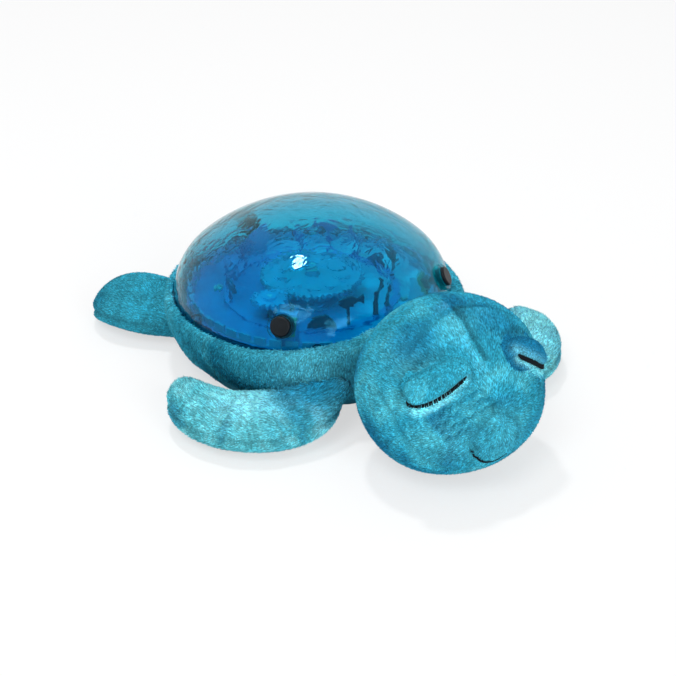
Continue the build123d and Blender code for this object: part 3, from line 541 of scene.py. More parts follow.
def on_skin(piece, points):
    """The points moved to the nearest place on a piece's skin."""
    found = [piece.closest_point_on_mesh(Vector(point)) for point in points]
    return np.array([hit[1] for hit in found])


def all_on_skin(piece, lines):
    return [on_skin(piece, line) for line in lines]


def press(piece, lines, width, depth):
    """Presses sewn lines into a skin, deepest on the line."""
    spots = spots_of(piece)
    sink = np.zeros(len(spots))
    for line in lines:
        sink = np.maximum(sink, depth * fading(spots, line, width))
    move_to(piece, spots - normals_of(piece) * sink[:, None])


def paint_shading(piece, lines=(), width=1.0, amount=0.0):
    """Paints shading along a skin's lines, from 0 dark to 1 pale: a negative amount paints shade into a
    groove, a positive one a highlight.
    """
    spots = spots_of(piece)
    if "pile_tone" in piece.data.attributes:
        values = shading_of(piece)
    else:
        values = np.full(len(spots), 0.5, np.float32)
    for line in lines:
        values += amount * fading(spots, line, width).astype(np.float32)
    mark(piece.data, "pile_tone", np.clip(values, 0.0, 1.0))


def shade_sides(piece, line, pale, dark, reach):
    """Paints a skin paler on the low-x side of a seam as a highlight and darker on the other as shade, where
    the pile is brushed two ways.
    """
    spots = spots_of(piece)
    order = np.argsort(line[:, 1])
    beside = spots[:, 0] - np.interp(spots[:, 1], line[order, 1], line[order, 0])
    values = shading_of(piece)
    values += np.where(beside < 0.0, pale, dark) * fading(spots, line, reach)
    mark(piece.data, "pile_tone", np.clip(values, 0.0, 1.0))


def swell_at(piece, spot, reach, height):
    """Raises a soft mound on a skin."""
    spots = spots_of(piece)
    gap = np.linalg.norm((spots - metres(spot)) / metres(reach), axis=1)
    lift = height / 1000 * np.exp(-gap ** 2)
    move_to(piece, spots + normals_of(piece) * lift[:, None])


def lift_off(piece):
    """Keeps a skin just clear of the floor."""
    spots = spots_of(piece)
    spots[:, 2] = np.maximum(spots[:, 2], FLOOR_GAP)
    move_to(piece, spots)


def skin(node, name, grid):
    """An even, rounded skin made from a merged copy of a node's solid."""
    piece = bpy.data.objects.new(name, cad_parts[node].data.copy())
    bpy.context.scene.collection.objects.link(piece)
    whole_mesh(piece)
    bpy.ops.mesh.remove_doubles(threshold=0.00002)
    bpy.ops.object.mode_set(mode="OBJECT")
    piece.data.remesh_voxel_size = grid
    bpy.ops.object.voxel_remesh()
    apply(piece, "SMOOTH", factor=0.5, iterations=6)
    bpy.ops.object.shade_smooth()
    return piece


def hold(piece, name, chosen):
    """A vertex group of the chosen vertices."""
    group = piece.vertex_groups.new(name=name)
    group.add([int(index) for index in np.flatnonzero(chosen)], 1.0, "REPLACE")
    return group


def stuff(piece, seams):
    """Fills a skin with a cloth run under pressure. Its seams hold still."""
    sizes = bpy.context.scene.plush
    move_to(piece, spots_of(piece) - normals_of(piece) * sizes.take_in)
    start = spots_of(piece)
    near = start[:, 2] < sizes.take_in * 1.2
    for line in seams:
        near |= gap_to(start, line) < HELD_REACH
    held = hold(piece, "held", near)
    cloth = piece.modifiers.new("stuffing", "CLOTH")
    cloth.settings.use_pressure = True
    cloth.settings.uniform_pressure_force = sizes.pressure
    cloth.settings.effector_weights.gravity = 0.0
    cloth.settings.vertex_group_mass = held.name
    cloth.settings.quality = CLOTH_QUALITY
    cloth.point_cache.frame_start = 1
    cloth.point_cache.frame_end = CLOTH_FRAMES
    for step in range(1, CLOTH_FRAMES + 1):
        bpy.context.scene.frame_set(step)
    shift = spots_of(piece.evaluated_get(bpy.context.evaluated_depsgraph_get())) - start
    reach = np.linalg.norm(shift, axis=1, keepdims=True)
    shift *= np.minimum(1.0, sizes.swell / np.maximum(reach, 1e-9))
    piece.modifiers.remove(cloth)
    piece.vertex_groups.remove(held)
    bpy.context.scene.frame_set(1)
    move_to(piece, start + shift)
    apply(piece, "SMOOTH", factor=0.5, iterations=2)
    refine(piece)
    lift_off(piece)


def unfold(piece):
    """Lays a skin out on a flat map, on which its tufts find their places."""
    whole_mesh(piece)
    piece.data.uv_layers.new(name=FLAT_MAP)
    bpy.ops.uv.smart_project(angle_limit=math.radians(60.0), island_margin=0.004)
    bpy.ops.object.mode_set(mode="OBJECT")


def straight(*way):
    """A comb that lies one way all over."""
    return lambda spots: np.tile(way, (len(spots), 1))


def pile(piece, comb, seams=(), length=1.0, count=1.0, bare=None):
    """Covers a skin with short tufts that lie as combed, shorter within reach of its seams."""
    sizes = bpy.context.scene.plush
    rng = np.random.default_rng(sizes.seed + len(piece.name))
    paint_shading(piece)
    unfold(piece)
    mesh = piece.data
    mesh.calc_loop_triangles()
    corners = numbers(mesh.loop_triangles, "vertices", 3, np.int64)
    loops = numbers(mesh.loop_triangles, "loops", 3, np.int64)
    spots, normals = spots_of(piece), normals_of(piece)
    middle, facing = spots[corners].mean(axis=1), normals[corners].mean(axis=1)
    keep = ~((facing[:, 2] < -0.75) & (middle[:, 2] < 0.004))
    if bare is not None:
        keep &= ~bare(middle, facing)
    corners, loops = corners[keep], loops[keep]
    first, second, third = (spots[corners[:, index]] for index in range(3))
    area = np.linalg.norm(np.cross(second - first, third - first), axis=1) / 2
    total = int(area.sum() * sizes.pile_count * count)
    chosen = rng.choice(len(corners), size=total, p=area / area.sum())
    weights = rng.dirichlet((1.0, 1.0, 1.0), size=total)
    roots = np.einsum("ij,ijk->ik", weights, spots[corners[chosen]])
    room = np.full(total, 1.0)
    for line, spared in seams:
        room = np.minimum(room, gap_to(roots, line) / spared)
    grown = room > TUFT_BARE
    chosen, weights, roots, room = chosen[grown], weights[grown], roots[grown], room[grown]
    total = len(roots)
    up = np.einsum("ij,ijk->ik", weights, normals[corners[chosen]])
    up /= np.linalg.norm(up, axis=1, keepdims=True)
    lie = comb(roots) + rng.normal(0.0, TUFT_STRAY, (total, 3))
    lie -= up * np.einsum("ij,ij->i", lie, up)[:, None]
    lie /= np.maximum(np.linalg.norm(lie, axis=1, keepdims=True), 1e-9)
    stand = rng.uniform(*TUFT_STAND, (total, 1))
    way = up * stand + lie * np.sqrt(1.0 - stand ** 2)
    reach = sizes.pile_length * length * rng.uniform(*TUFT_REACH, (total, 1))
    reach = reach * np.maximum(room, TUFT_SHORTEST)[:, None]
    side = np.cross(up, lie)
    wide = sizes.pile_width * rng.uniform(*TUFT_WIDTH, (total, 1))
    sunk = roots - up * wide * 0.8
    tufts = np.stack([sunk + side * wide, sunk - side * wide, sunk + up * wide * 1.5, roots + way * reach],
                     axis=1)
    tufts[:, :, 2] = np.maximum(tufts[:, :, 2], 0.0)
    tints = rng.uniform(0.0, 1.0, total)
    shadings = np.einsum("ij,ij->i", weights, shading_of(piece)[corners[chosen]])
    rooted = np.einsum("ij,ijk->ik", weights, numbers(mesh.uv_layers[FLAT_MAP].data, "uv", 2)[loops[chosen]])
    join_tufts(piece, tufts, rooted, tints, shadings)


def join_tufts(piece, tufts, rooted, tints, shadings):
    """Joins a skin's tufts to it, each with its place on the flat map, its tint and its painted shading."""
    corners = tufts.shape[1]
    faces = (TUFT_FACES[None] + corners * np.arange(len(tufts))[:, None, None]).reshape(-1, 3)
    nap = bpy.data.meshes.new(piece.name + "_pile")
    nap.from_pydata(tufts.reshape(-1, 3), [], faces.tolist())
    nap.polygons.foreach_set("use_smooth", np.ones(len(faces), bool))
    spread = np.repeat(rooted, TUFT_FACES.size, axis=0)
    nap.uv_layers.new(name=FLAT_MAP).data.foreach_set("uv", spread.ravel())
    mark(nap, "pile_tint", np.repeat(tints, corners))
    mark(nap, "pile_tip", np.tile(TUFT_SHADES, len(tufts)))
    mark(nap, "pile_tone", np.repeat(shadings, corners))
    # The bare skin under the tufts is painted dark, as shade under the pile, with a middling tint
    for name, under in (("pile_tint", 0.5), ("pile_tip", 0.08)):
        mark(piece.data, name, np.full(len(piece.data.vertices), under))
    cover = bpy.data.objects.new(nap.name, nap)
    bpy.context.scene.collection.objects.link(cover)
    only(piece)
    cover.select_set(True)
    bpy.ops.object.join()


def keep_bare(name, piece):
    """Keeps a copy of a skin as it is before its pile, for what is sewn on it."""
    bare_skins[name] = piece.copy()
    bare_skins[name].data = piece.data.copy()


def stitches(name, line, hosts, length):
    """A row of satin stitches across a line, laid on whichever host stands out furthest."""
    path, normals = [], []
    for spot in along(line, THREAD_STEP):
        hits = [host.closest_point_on_mesh(Vector(spot)) for host in hosts]
        normal = hits[0][2]
        best = max(hits, key=lambda hit: hit[1].dot(normal))
        path.append(best[1] + normal * THREAD_LIFT)
        normals.append(normal)
    bpy.ops.object.select_all(action="DESELECT")
    bpy.ops.mesh.primitive_cylinder_add(vertices=6, radius=THREAD_RADIUS, depth=2 * length)
    model = bpy.context.active_object
    whole_mesh(model)
    bpy.ops.mesh.bevel(offset=THREAD_ROUND, segments=1)
    bpy.ops.object.mode_set(mode="OBJECT")
    rows = []
    for index, (spot, normal) in enumerate(zip(path, normals)):
        ahead = (path[min(index + 1, len(path) - 1)] - path[max(index - 1, 0)]).normalized()
        slant = (normal.cross(ahead).normalized() + ahead * 0.35).normalized()
        taper = min(1.0, 0.35 + 0.22 * min(index, len(path) - 1 - index))
        turn = Matrix.LocRotScale(spot, slant.to_track_quat("Z", "Y"), (1.0, 1.0, taper))
        stitch = bpy.data.objects.new(name, model.data.copy())
        stitch.data.transform(turn)
        bpy.context.scene.collection.objects.link(stitch)
        rows.append(stitch)
    bpy.data.objects.remove(model)
    for stitch in rows:
        stitch.select_set(True)
    bpy.context.view_layer.objects.active = rows[0]
    bpy.ops.object.join()
    rows[0].name = name
    bpy.ops.object.shade_smooth()
    return rows[0]


def eye_line(left):
    """The closing line of an eye, in millimetres from its outer corner."""
    if not left:
        return EYE_LINE
    return [(x, y, z - drop) for (x, y, z), drop in zip(mirrored(EYE_LINE), FAR_EYE_DROP)]


def lower_lid(left):
    """The middle of the pale roll under a closed eye."""
    side = -1 if left else 1
    return [(x + side * LOWER_LID[0], y + LOWER_LID[1], z + LOWER_LID[2]) for x, y, z in eye_line(left)[1:]]


def socket_line(left):
    """The fold over an upper lid, from one end of its closing line to the other."""
    line = eye_line(left)
    start, end = np.array(line[0]), np.array(line[-1])
    points = []
    for share, lift in SOCKET_FOLD:
        spot = start * (1 - share) + end * share
        points.append(tuple(spot + np.array([SOCKET_RISE * lift * lean for lean in SOCKET_LEAN])))
    return points


def mouth_line():
    """The mouth from its near corner to a little past its middle."""
    middle = MOUTH[-1][0]
    return list(MOUTH) + mirrored(MOUTH, middle)[-2:1:-1]


def flipper_spot(angle, radius, level, left):
    """A spot on a front flipper, from its angle and radius round the shoulder, in millimetres."""
    x = SHOULDER[0] + radius * math.cos(math.radians(angle))
    y = SHOULDER[1] + radius * math.sin(math.radians(angle))
    if not left:
        return x, y, level
    turn = math.radians(LEFT_TURN)
    x -= SHOULDER_PIVOT[0]
    y -= SHOULDER_PIVOT[1]
    turned_x = SHOULDER_PIVOT[0] + LEFT_SHIFT[0] + x * math.cos(turn) - y * math.sin(turn)
    turned_y = SHOULDER_PIVOT[1] + LEFT_SHIFT[1] + x * math.sin(turn) + y * math.cos(turn)
    return -turned_x, turned_y, level


def front_lines(left):
    """Edge seam and short creases of a front flipper."""
    outer, inner = ([flipper_spot(angle, FLIPPER_CURVE + side * half, level, left)
                     for angle, half, level in FLIPPER_EDGE] for side in (1, -1))
    creases = [[flipper_spot(angle, FLIPPER_CURVE + reach, CREASE_LEVEL, left) for reach in CREASE_RUN]
               for angle in FLIPPER_CREASES]
    return outer + [flipper_spot(*FLIPPER_TIP, left)] + inner[::-1], creases


def rear_lines(side):
    """Edge seam and root crease of a rear flipper."""
    root = np.array([side * REAR_ROOT[0], REAR_ROOT[1]])
    run = np.array([side * REAR_TIP[0], REAR_TIP[1]]) - root
    way = run / np.linalg.norm(run)
    across = np.array([way[1], -way[0]])
    one, other = ([(*(root + run * share + across * (edge * half)), level)
                   for share, half, level in REAR_EDGE] for edge in (1, -1))
    edge = one + [(side * REAR_TIP[0], REAR_TIP[1], REAR_TIP_LEVEL)] + other[::-1]
    crease = [(*(root + run * REAR_CREASE_SHARE + across * reach), REAR_CREASE_LEVEL)
              for reach in REAR_CREASE_RUN]
    return edge, crease


class NIGHTLIGHT_OT_body(bpy.types.Operator):
    """Makes the stuffed body that wraps the lamp."""

    bl_idname = "nightlight.body"
    bl_label = "Stuffed body"

    def execute(self, context):
        sizes = context.scene.plush
        piece = skin("body_plush", "stuffed_body", sizes.hem_grid)
        self.gather(piece)
        refine(piece)
        lift_off(piece)
        pile(piece, straight(0.0, 0.0, -1.0), (), 0.85, 1.0, self.lining)
        material = plush("body_pile", sizes.body_deep, sizes.body_mid, sizes.body_pale, (0.3, 0.1, 0.0), (
            ((-60, -85, 42), 45, 0.6, sizes.body_pale), ((-88, 30, 12), 50, 0.5, sizes.body_deep)))
        dress(piece, material, ["body_plush"])
        return {"FINISHED"}

    def gather(self, piece, folds=23, depth=0.0007, height=0.035):
        """Draws the outside into low folds that fade out upwards."""
        spots = spots_of(piece)
        normals = normals_of(piece)
        turn = np.arctan2(spots[:, 1], spots[:, 0])
        outward = np.einsum("ij,ij->i", normals[:, :2], spots[:, :2]) > 0
        gathers = np.sin(turn * folds + 0.8 * np.sin(turn * 5))
        gathers = gathers * np.clip(1.2 - spots[:, 2] / height, 0.0, 1.0)
        move_to(piece, spots + normals * (outward * gathers * depth)[:, None])

    def lining(self, middle, facing):
        """True on the faces that lie against the lamp or the floor."""
        radial = np.einsum("ij,ij->i", facing[:, :2], middle[:, :2])
        inward = radial < -0.25 * np.linalg.norm(middle[:, :2], axis=1)
        return inward | (facing[:, 2] < -0.6)


class NIGHTLIGHT_OT_head(bpy.types.Operator):
    """Makes the stuffed head with its seams, muzzle and wrinkles."""

    bl_idname = "nightlight.head"
    bl_label = "Stuffed head"

    def execute(self, context):
        sizes = context.scene.plush
        piece = skin("head_plush", "stuffed_head", sizes.head_grid)
        jaws = [JAW_SEAM, mirrored(JAW_SEAM)]
        seams = [CROWN_SEAM, BROW_SEAM, mirrored(BROW_SEAM)] + jaws
        seams = all_on_skin(piece, [along(line) for line in seams])
        stuff(piece, seams[-len(jaws):])
        for mound in MOUNDS:
            swell_at(piece, *mound)
        refine(piece)
        sewn = self.sew(piece, all_on_skin(piece, seams))
        keep_bare("head", piece)
        pile(piece, self.comb, sewn, 0.85)
        # The pale spots paint highlights on the near cheek, crown and nose; the deep spots paint shade at
        # the back of the head and on its far side
        material = plush("head_pile", sizes.head_deep, sizes.head_mid, sizes.head_pale, (0.02, 0.0, 0.07), (
            ((-38, -164, 93), 26, 0.8, sizes.head_deep), ((-50, -150, 70), 26, 0.2, sizes.head_pale),
            ((-34, -196, 45), 26, 0.45, sizes.head_pale), ((12, -172, 102), 26, 0.7, sizes.head_deep),
            ((28, -182, 88), 26, 0.7, sizes.head_deep), ((-14, -172, 103), 18, 0.5, sizes.head_pale),
            ((HEAD_MIDDLE, -206, 42), 30, 0.4, sizes.head_pale)))
        dress(piece, material, ["head_plush"])
        return {"FINISHED"}

    def sew(self, piece, seams):
        """Presses the lines of the face into the skin and lists where they keep the pile short."""
        # Each sewn line is pressed in and painted darker as shade; the rolls under the eyes are painted
        # paler as highlights
        press(piece, seams, *SEAM_GROOVE)
        paint_shading(piece, seams, *SEAM_SHADE)
        # Painted highlight and shade on the two sides of the crown seam
        shade_sides(piece, seams[0], *CROWN_SIDES)
        nose = all_on_skin(piece, [along(line) for line in (NOSE_SEAM, mirrored(NOSE_SEAM, MUZZLE_MIDDLE))])
        press(piece, nose, *NOSE_GROOVE)
        paint_shading(piece, nose, *NOSE_SHADE)
        wrinkles = all_on_skin(piece, [pucker(along(line, 0.0012)) for line in WRINKLES])
        press(piece, wrinkles, *WRINKLE_GROOVE)
        paint_shading(piece, wrinkles, *WRINKLE_SHADE)
        sockets = all_on_skin(piece, [along(socket_line(left)) for left in (False, True)])
        press(piece, sockets, *SOCKET_GROOVE)
        paint_shading(piece, sockets, *SOCKET_SHADE)
        rolls = all_on_skin(piece, [along(lower_lid(left)) for left in (False, True)])
        press(piece, rolls, *ROLL_RIDGE)
        paint_shading(piece, all_on_skin(piece, rolls), *ROLL_SHADE)
        mouth = on_skin(piece, along(mouth_line()))
        press(piece, [mouth], *MOUTH_GROOVE)
        return ([(line, SEAM_ROOM) for line in seams + nose + [mouth]]
                + [(line, WRINKLE_ROOM) for line in wrinkles])

    def comb(self, spots):
        away = spots - metres(NOSE_TIP)
        return away / np.linalg.norm(away, axis=1, keepdims=True)


class NIGHTLIGHT_OT_eyelids(bpy.types.Operator):
    """Makes the padded eyelids, closed along a stitched line."""

    bl_idname = "nightlight.eyelids"
    bl_label = "Eyelids"

    def execute(self, context):
        sizes = context.scene.plush
        head = bare_skins["head"]
        context.scene.collection.objects.link(head)
        context.view_layer.update()
        # The right lid in the head's middle and pale colours, the left one all in its darkest
        lid_colours = {"right": (sizes.head_mid, sizes.head_mid, sizes.head_pale), "left": (sizes.head_deep,) * 3}
        for side, height in LID_HEIGHTS.items():
            piece = skin("eyelid_" + side, "padded_lid_" + side, sizes.lid_grid)
            closing = self.shape(piece, head, eye_line(side == "left"), height)
            refine(piece)
            # Painted highlights along the lid's edge over the closing line and on the lower lid under it
            paint_shading(piece, [closing + np.array(LASH_OFFSET)], *LASH_SHADE)
            paint_shading(piece, [closing + np.array(UNDER_OFFSET)], *UNDER_SHADE)
            keep_bare("lid_" + side, piece)
            pile(piece, straight(0.0, 0.2, -1.0), [(closing, SEAM_ROOM)], 0.6, 1.2)
            material = plush("lid_pile_" + side, *lid_colours[side], (0.05, 0.02, 0.0))
            dress(piece, material, ["eyelid_" + side])
        context.scene.collection.objects.unlink(head)
        return {"FINISHED"}

    def shape(self, piece, head, line, height):
        """Swells the upper lid over the closing line and keeps a thin lower lid under it."""
        spots = spots_of(piece)
        middle = spots.mean(axis=0)
        axes = np.linalg.svd(spots - middle, full_matrices=False)[2]
        run = axes[0] * np.sign(axes[0][0])
        up = axes[1] * np.sign(axes[1][2])
        closing = along(line, 0.001)
        stops = (closing - middle) @ run
        order = np.argsort(stops)
        across = (spots - middle) @ run
        rise = (spots - middle) @ up - np.interp(across, stops[order], ((closing - middle) @ up)[order])
        half = LID_WIDTH / 2000
        core = LID_LENGTH / 2000 - half
        beside = np.maximum(np.abs(across) - core, 0.0)
        edge = half - np.hypot(beside, (spots - middle) @ up)
        climb = np.clip(rise / LID_CLIMB, 0.0, 1.0)
        fade = np.clip(edge / (LID_HEM + LID_FOLD * climb), 0.0, 1.0)
        fade = fade * fade * (3.0 - 2.0 * fade)
        upper = height * (1.0 - climb ** 3) * fade
        lower = LOWER_HEIGHT * np.clip(edge / LOWER_HEM, 0.0, 1.0)
        lip = np.clip(rise / LID_LIP + 0.5, 0.0, 1.0)
        raised = lower * (1.0 - lip) + upper * lip
        placed = np.empty_like(spots)
        for index, spot in enumerate(spots):
            _, foot, normal, _ = head.closest_point_on_mesh(Vector(spot))
            stand = (Vector(spot) - foot).dot(normal)
            outer = min(1.0, max(0.0, (stand - LID_BACK) / LID_FRONT))
            placed[index] = foot + normal * (raised[index] * outer - LID_SUNK * (1.0 - outer))
        move_to(piece, placed)
        return on_skin(piece, closing)


class NIGHTLIGHT_OT_flippers(bpy.types.Operator):
    """Makes the four stuffed flippers."""

    bl_idname = "nightlight.flippers"
    bl_label = "Flippers"

    def execute(self, context):
        for left in (False, True):
            side = "left" if left else "right"
            self.front(context.scene.plush, side, left)
            self.rear(context.scene.plush, side, 1 if left else -1)
        return {"FINISHED"}

    def front(self, sizes, side, left):
        piece = skin("flipper_front_" + side, "stuffed_front_flipper_" + side, sizes.head_grid)
        edge, creases = front_lines(left)
        self.round_tip(piece, flipper_spot(*FLIPPER_TIP, left))
        edge = on_skin(piece, along(edge))
        creases = all_on_skin(piece, [along(line) for line in creases])
        stuff(piece, [edge] + creases)
        edge = on_skin(piece, edge)
        creases = all_on_skin(piece, creases)
        press(piece, [edge], *EDGE_GROOVE)
        press(piece, creases, *CREASE_DIP)
        press(piece, creases, *CREASE_GROOVE)
        # Painted shade in the creases and along the edge seam
        paint_shading(piece, creases, *CREASE_SHADE)
        paint_shading(piece, [edge], *EDGE_SHADE)
        centre = metres(flipper_spot(0, 0, 16.0, left))
        sign = 1.0 if left else -1.0

        def comb(spots):
            away = spots - centre
            return sign * np.stack([-away[:, 1], away[:, 0], np.zeros(len(spots))], axis=1) * 22

        pile(piece, comb, [(edge, EDGE_ROOM)] + [(line, CREASE_ROOM) for line in creases], 1.3)
        # Paler across the middle and at the tip, darker towards the root
        tip_colour, tip_reach = (sizes.limb_pale, 70) if left else (sizes.limb_mid, 30)
        flipper_patches = ((-128, -4, 30, 40, 0.75, sizes.limb_pale), (-185, 0, 20, tip_reach, 0.6, tip_colour),
                  (-84, 0, 34, 34, 0.7, sizes.limb_deep), (-68, 4, 32, 46, 1.0, sizes.limb_deep))
        spots = [(flipper_spot(angle, FLIPPER_CURVE + aside, level, left), *rest)
                 for angle, aside, level, *rest in flipper_patches]
        material = plush("front_flipper_pile_" + side, sizes.limb_deep, sizes.limb_mid, sizes.limb_pale,
                         (0.11, 0.23, 0.0), spots)
        dress(piece, material, ["flipper_front_" + side])

    def round_tip(self, piece, tip, reach=0.024):
        """Eases the corners of a flipper's end."""
        end = hold(piece, "end", np.linalg.norm(spots_of(piece) - metres(tip), axis=1) < reach)
        apply(piece, "SMOOTH", factor=0.5, iterations=24, vertex_group=end.name)
        piece.vertex_groups.clear()

    def rear(self, sizes, side, way):
        piece = skin("flipper_rear_" + side, "stuffed_rear_flipper_" + side, sizes.skin_grid)
        lines = all_on_skin(piece, [along(line) for line in rear_lines(way)])
        stuff(piece, lines)
        edge, crease = all_on_skin(piece, lines)
        press(piece, [edge], *REAR_GROOVE)
        press(piece, [crease], *REAR_CREASE_GROOVE)
        # Painted shade along the edge seam and the root crease
        paint_shading(piece, [edge, crease], *REAR_SHADE)
        run = np.array([way * (REAR_TIP[0] - REAR_ROOT[0]), REAR_TIP[1] - REAR_ROOT[1], 0.0])
        comb = straight(*(run / np.linalg.norm(run)))
        pile(piece, comb, [(edge, SEAM_ROOM), (crease, REAR_CREASE_ROOM)], 0.8)
        material = plush("rear_flipper_pile_" + side, sizes.body_deep, sizes.body_mid, sizes.head_mid,
                         (0.4, 0.05, 0.0))
        dress(piece, material, ["flipper_rear_" + side])


class NIGHTLIGHT_OT_tail(bpy.types.Operator):
    """Makes the short stuffed tail."""

    bl_idname = "nightlight.tail"
    bl_label = "Tail"

    def execute(self, context):
        sizes = context.scene.plush
        piece = skin("tail_plush", "stuffed_tail", sizes.hem_grid)
        edge = on_skin(piece, along(TAIL_EDGE))
        stuff(piece, [edge])
        edge = on_skin(piece, edge)
        press(piece, [edge], *TAIL_GROOVE)
        pile(piece, straight(0.0, 1.0, 0.0), [(edge, SEAM_ROOM)], 0.8)
        material = plush("tail_pile", sizes.limb_deep, sizes.limb_mid, sizes.limb_pale, (0.2, 0.3, 0.0))
        dress(piece, material, ["tail_plush"])
        return {"FINISHED"}


class NIGHTLIGHT_OT_embroidery(bpy.types.Operator):
    """Sews the closed eyes and the mouth."""

    bl_idname = "nightlight.embroidery"
    bl_label = "Embroidery"

    def execute(self, context):
        thread = context.scene.plush.thread
        finish = Finish("embroidery_thread", Roughness=0.75, Specular_IOR_Level=0.08)
        strands = finish.noise(900.0, 2.0, 0.6, 0.0, (1.0, 1.0, 3.0))
        finish.colour(finish.mix(strands, thread, times(thread, 2)))
        finish.relief(strands, 0.0002)
        rows = (("eye_stitches_right", eye_line(False), ("head", "lid_right"), EYE_STITCH),
                ("eye_stitches_left", eye_line(True), ("head", "lid_left"), EYE_STITCH),
                ("mouth_stitches", mouth_line(), ("head",), MOUTH_STITCH))
        for bare in bare_skins.values():
            context.scene.collection.objects.link(bare)
        context.view_layer.update()
        for name, line, hosts, length in rows:
            piece = stitches(name, line, [bare_skins[host] for host in hosts], length)
            dress(piece, finish.material)
        for bare in bare_skins.values():
            bpy.data.objects.remove(bare)
        bare_skins.clear()
        return {"FINISHED"}


class NIGHTLIGHT_OT_shell(bpy.types.Operator):
    """Finishes the clear shell and what stands in it."""

    bl_idname = "nightlight.shell"
    bl_label = "Clear shell"

    def execute(self, context):
        shell = context.scene.shell
        self.dome(shell)
        self.deck(shell)
        self.scenery(shell)
        paint("light_baffle", moulded("baffle_blue", (0.01, 0.32, 0.5), 0.35))
        paint("projector_tower", moulded("tower_blue", (0.012, 0.36, 0.56), 0.35))
        paint("ripple_disc", moulded("disc_blue", (0.06, 0.5, 0.7), 0.15, 300.0, 0.0003,
                                     Transmission_Weight=0.5))
        paint("drive_pinion", moulded("gear_blue", (0.03, 0.3, 0.5), 0.4))
        paint("lamps", moulded("lamp_lens", (0.7, 0.85, 0.9), 0.1, Transmission_Weight=0.6))
        button = moulded("dark_button", (0.003, 0.006, 0.009), 0.3, 1400.0, 0.00004, Specular_IOR_Level=0.12)
        for name in ("rear", "front_left", "front_right"):
            paint("button_" + name, button)
        return {"FINISHED"}

    def dome(self, shell):
        """Clear rippled plastic, darker at its edges and a little milky on the left."""
        finish = Finish("rippled_clear_shell", Roughness=0.025, IOR=1.35,
                        Transmission_Weight=1.0, Specular_Tint=(0.2, 0.65, 0.92))
        facing = finish.node("ShaderNodeLayerWeight", None, {"Blend": 0.35}, out="Facing")
        finish.colour(finish.mix(facing ** 1.8, shell.tint, times(shell.tint, 0.3)))
        ripples = finish.noise(shell.ripple_size, 2.0, 0.45, 1.6, (1.0, 1.0, 1.8))
        dapple = finish.noise(shell.ripple_size * 2.6, 1.0, 0.4, 0.8, (1.0, 1.0, 1.6))
        finish.relief(ripples + dapple * 0.22, shell.ripple_depth)
        pane = [math.sqrt(value) for value in shell.tint]
        clear = finish.node("ShaderNodeBsdfTransparent", None, {"Color": pane})
        shadow = finish.node("ShaderNodeLightPath", out="Is Shadow Ray")
        haze = finish.node("ShaderNodeBsdfTranslucent", None, {"Color": (0.02, 0.8, 0.88)})
        milky = finish.between(finish.axis("X"), -0.02, 0.08) * shell.haze
        finish.show(finish.either(shadow, finish.either(milky, finish.solid, haze), clear))
        paint("dome_shell", finish.material)

    def deck(self, shell):
        """Blue deck with patches and pebbles, painted paler on the left as if lit through the shell's far
        wall.
        """
        finish = Finish("sea_floor_deck", Roughness=0.35)
        patches = finish.noise(30.0, 3.0, 0.6, 0.8)
        pebbles = finish.noise(420.0, 2.0, 0.6)
        # Painted light: paler towards the left of the deck
        painted_lit_deck = finish.mix(finish.between(finish.axis("X"), -0.03, 0.07), shell.deck, shell.deck_painted_light)
        patchy = finish.between(patches, 0.35, 0.65) * 0.6 + 0.4
        finish.colour(finish.mix(patchy, times(shell.deck, 0.55), painted_lit_deck))
        finish.relief(pebbles * 0.6 + patches, 0.0008)
        paint("deck_plate", finish.material)

    def scenery(self, shell):
        """Dark cut-outs on a foot of the deck's colour, painted paler towards the back as if lit through the
        shell's far wall.
        """
        finish = Finish("dark_scenery", Roughness=0.35)
        foot = spots_of(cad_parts["scenery_ring"])[:, 2].min() + 0.002
        blotch = finish.noise(60.0, 3.0, 0.6, 0.6)
        blotched_and_backlit = finish.mix(blotch, shell.scenery, times(shell.scenery, 1.6))
        # Painted light: paler towards the back
        blotched_and_backlit = finish.mix(finish.between(finish.axis("Y"), -0.01, 0.03) * 0.8, blotched_and_backlit, shell.deck)
        finish.colour(finish.mix(finish.between(finish.axis("Z"), foot, foot + 0.001), shell.deck, blotched_and_backlit))
        finish.relief(blotch, 0.0004)
        paint("scenery_ring", finish.material)


class NIGHTLIGHT_OT_works(bpy.types.Operator):
    """Finishes the tub, its door and the works inside."""

    bl_idname = "nightlight.works"
    bl_label = "Tub and works"

    def execute(self, context):
        groups = (
            (moulded("tub_plastic", context.scene.shell.tub, 0.45, 1300.0, 0.00012),
             ("lamp_tub", "battery_door")),
            (plated("plated_steel", (0.6, 0.61, 0.63)),
             ("door_screw", "battery_contacts", "disc_axle", "axle_ring", "output_shaft", "motor",
              "speaker_basket", "dome_screws", "deck_screws", "board_screws")),
            (moulded("coated_board", (0.03, 0.22, 0.1), 0.35, 700.0),
             ("lamp_board", "main_board", "switch_boards")),
            (moulded("black_moulding", (0.015, 0.015, 0.018), 0.4), ("board_components", "push_switches")),
            (moulded("gear_case", (0.16, 0.17, 0.18), 0.45), ("gearbox",)),
            (plated("cell_wrap", (0.2, 0.24, 0.28), 0.35), ("battery_cells",)),
            (moulded("sintered_magnet", (0.07, 0.07, 0.08), 0.6, 500.0), ("speaker_magnet",)),
            (moulded("pressed_paper", (0.05, 0.05, 0.055), 0.85, 1800.0, 0.0002), ("speaker_cone",)),
        )
        for material, nodes in groups:
            for node in nodes:
                paint(node, material)
        return {"FINISHED"}


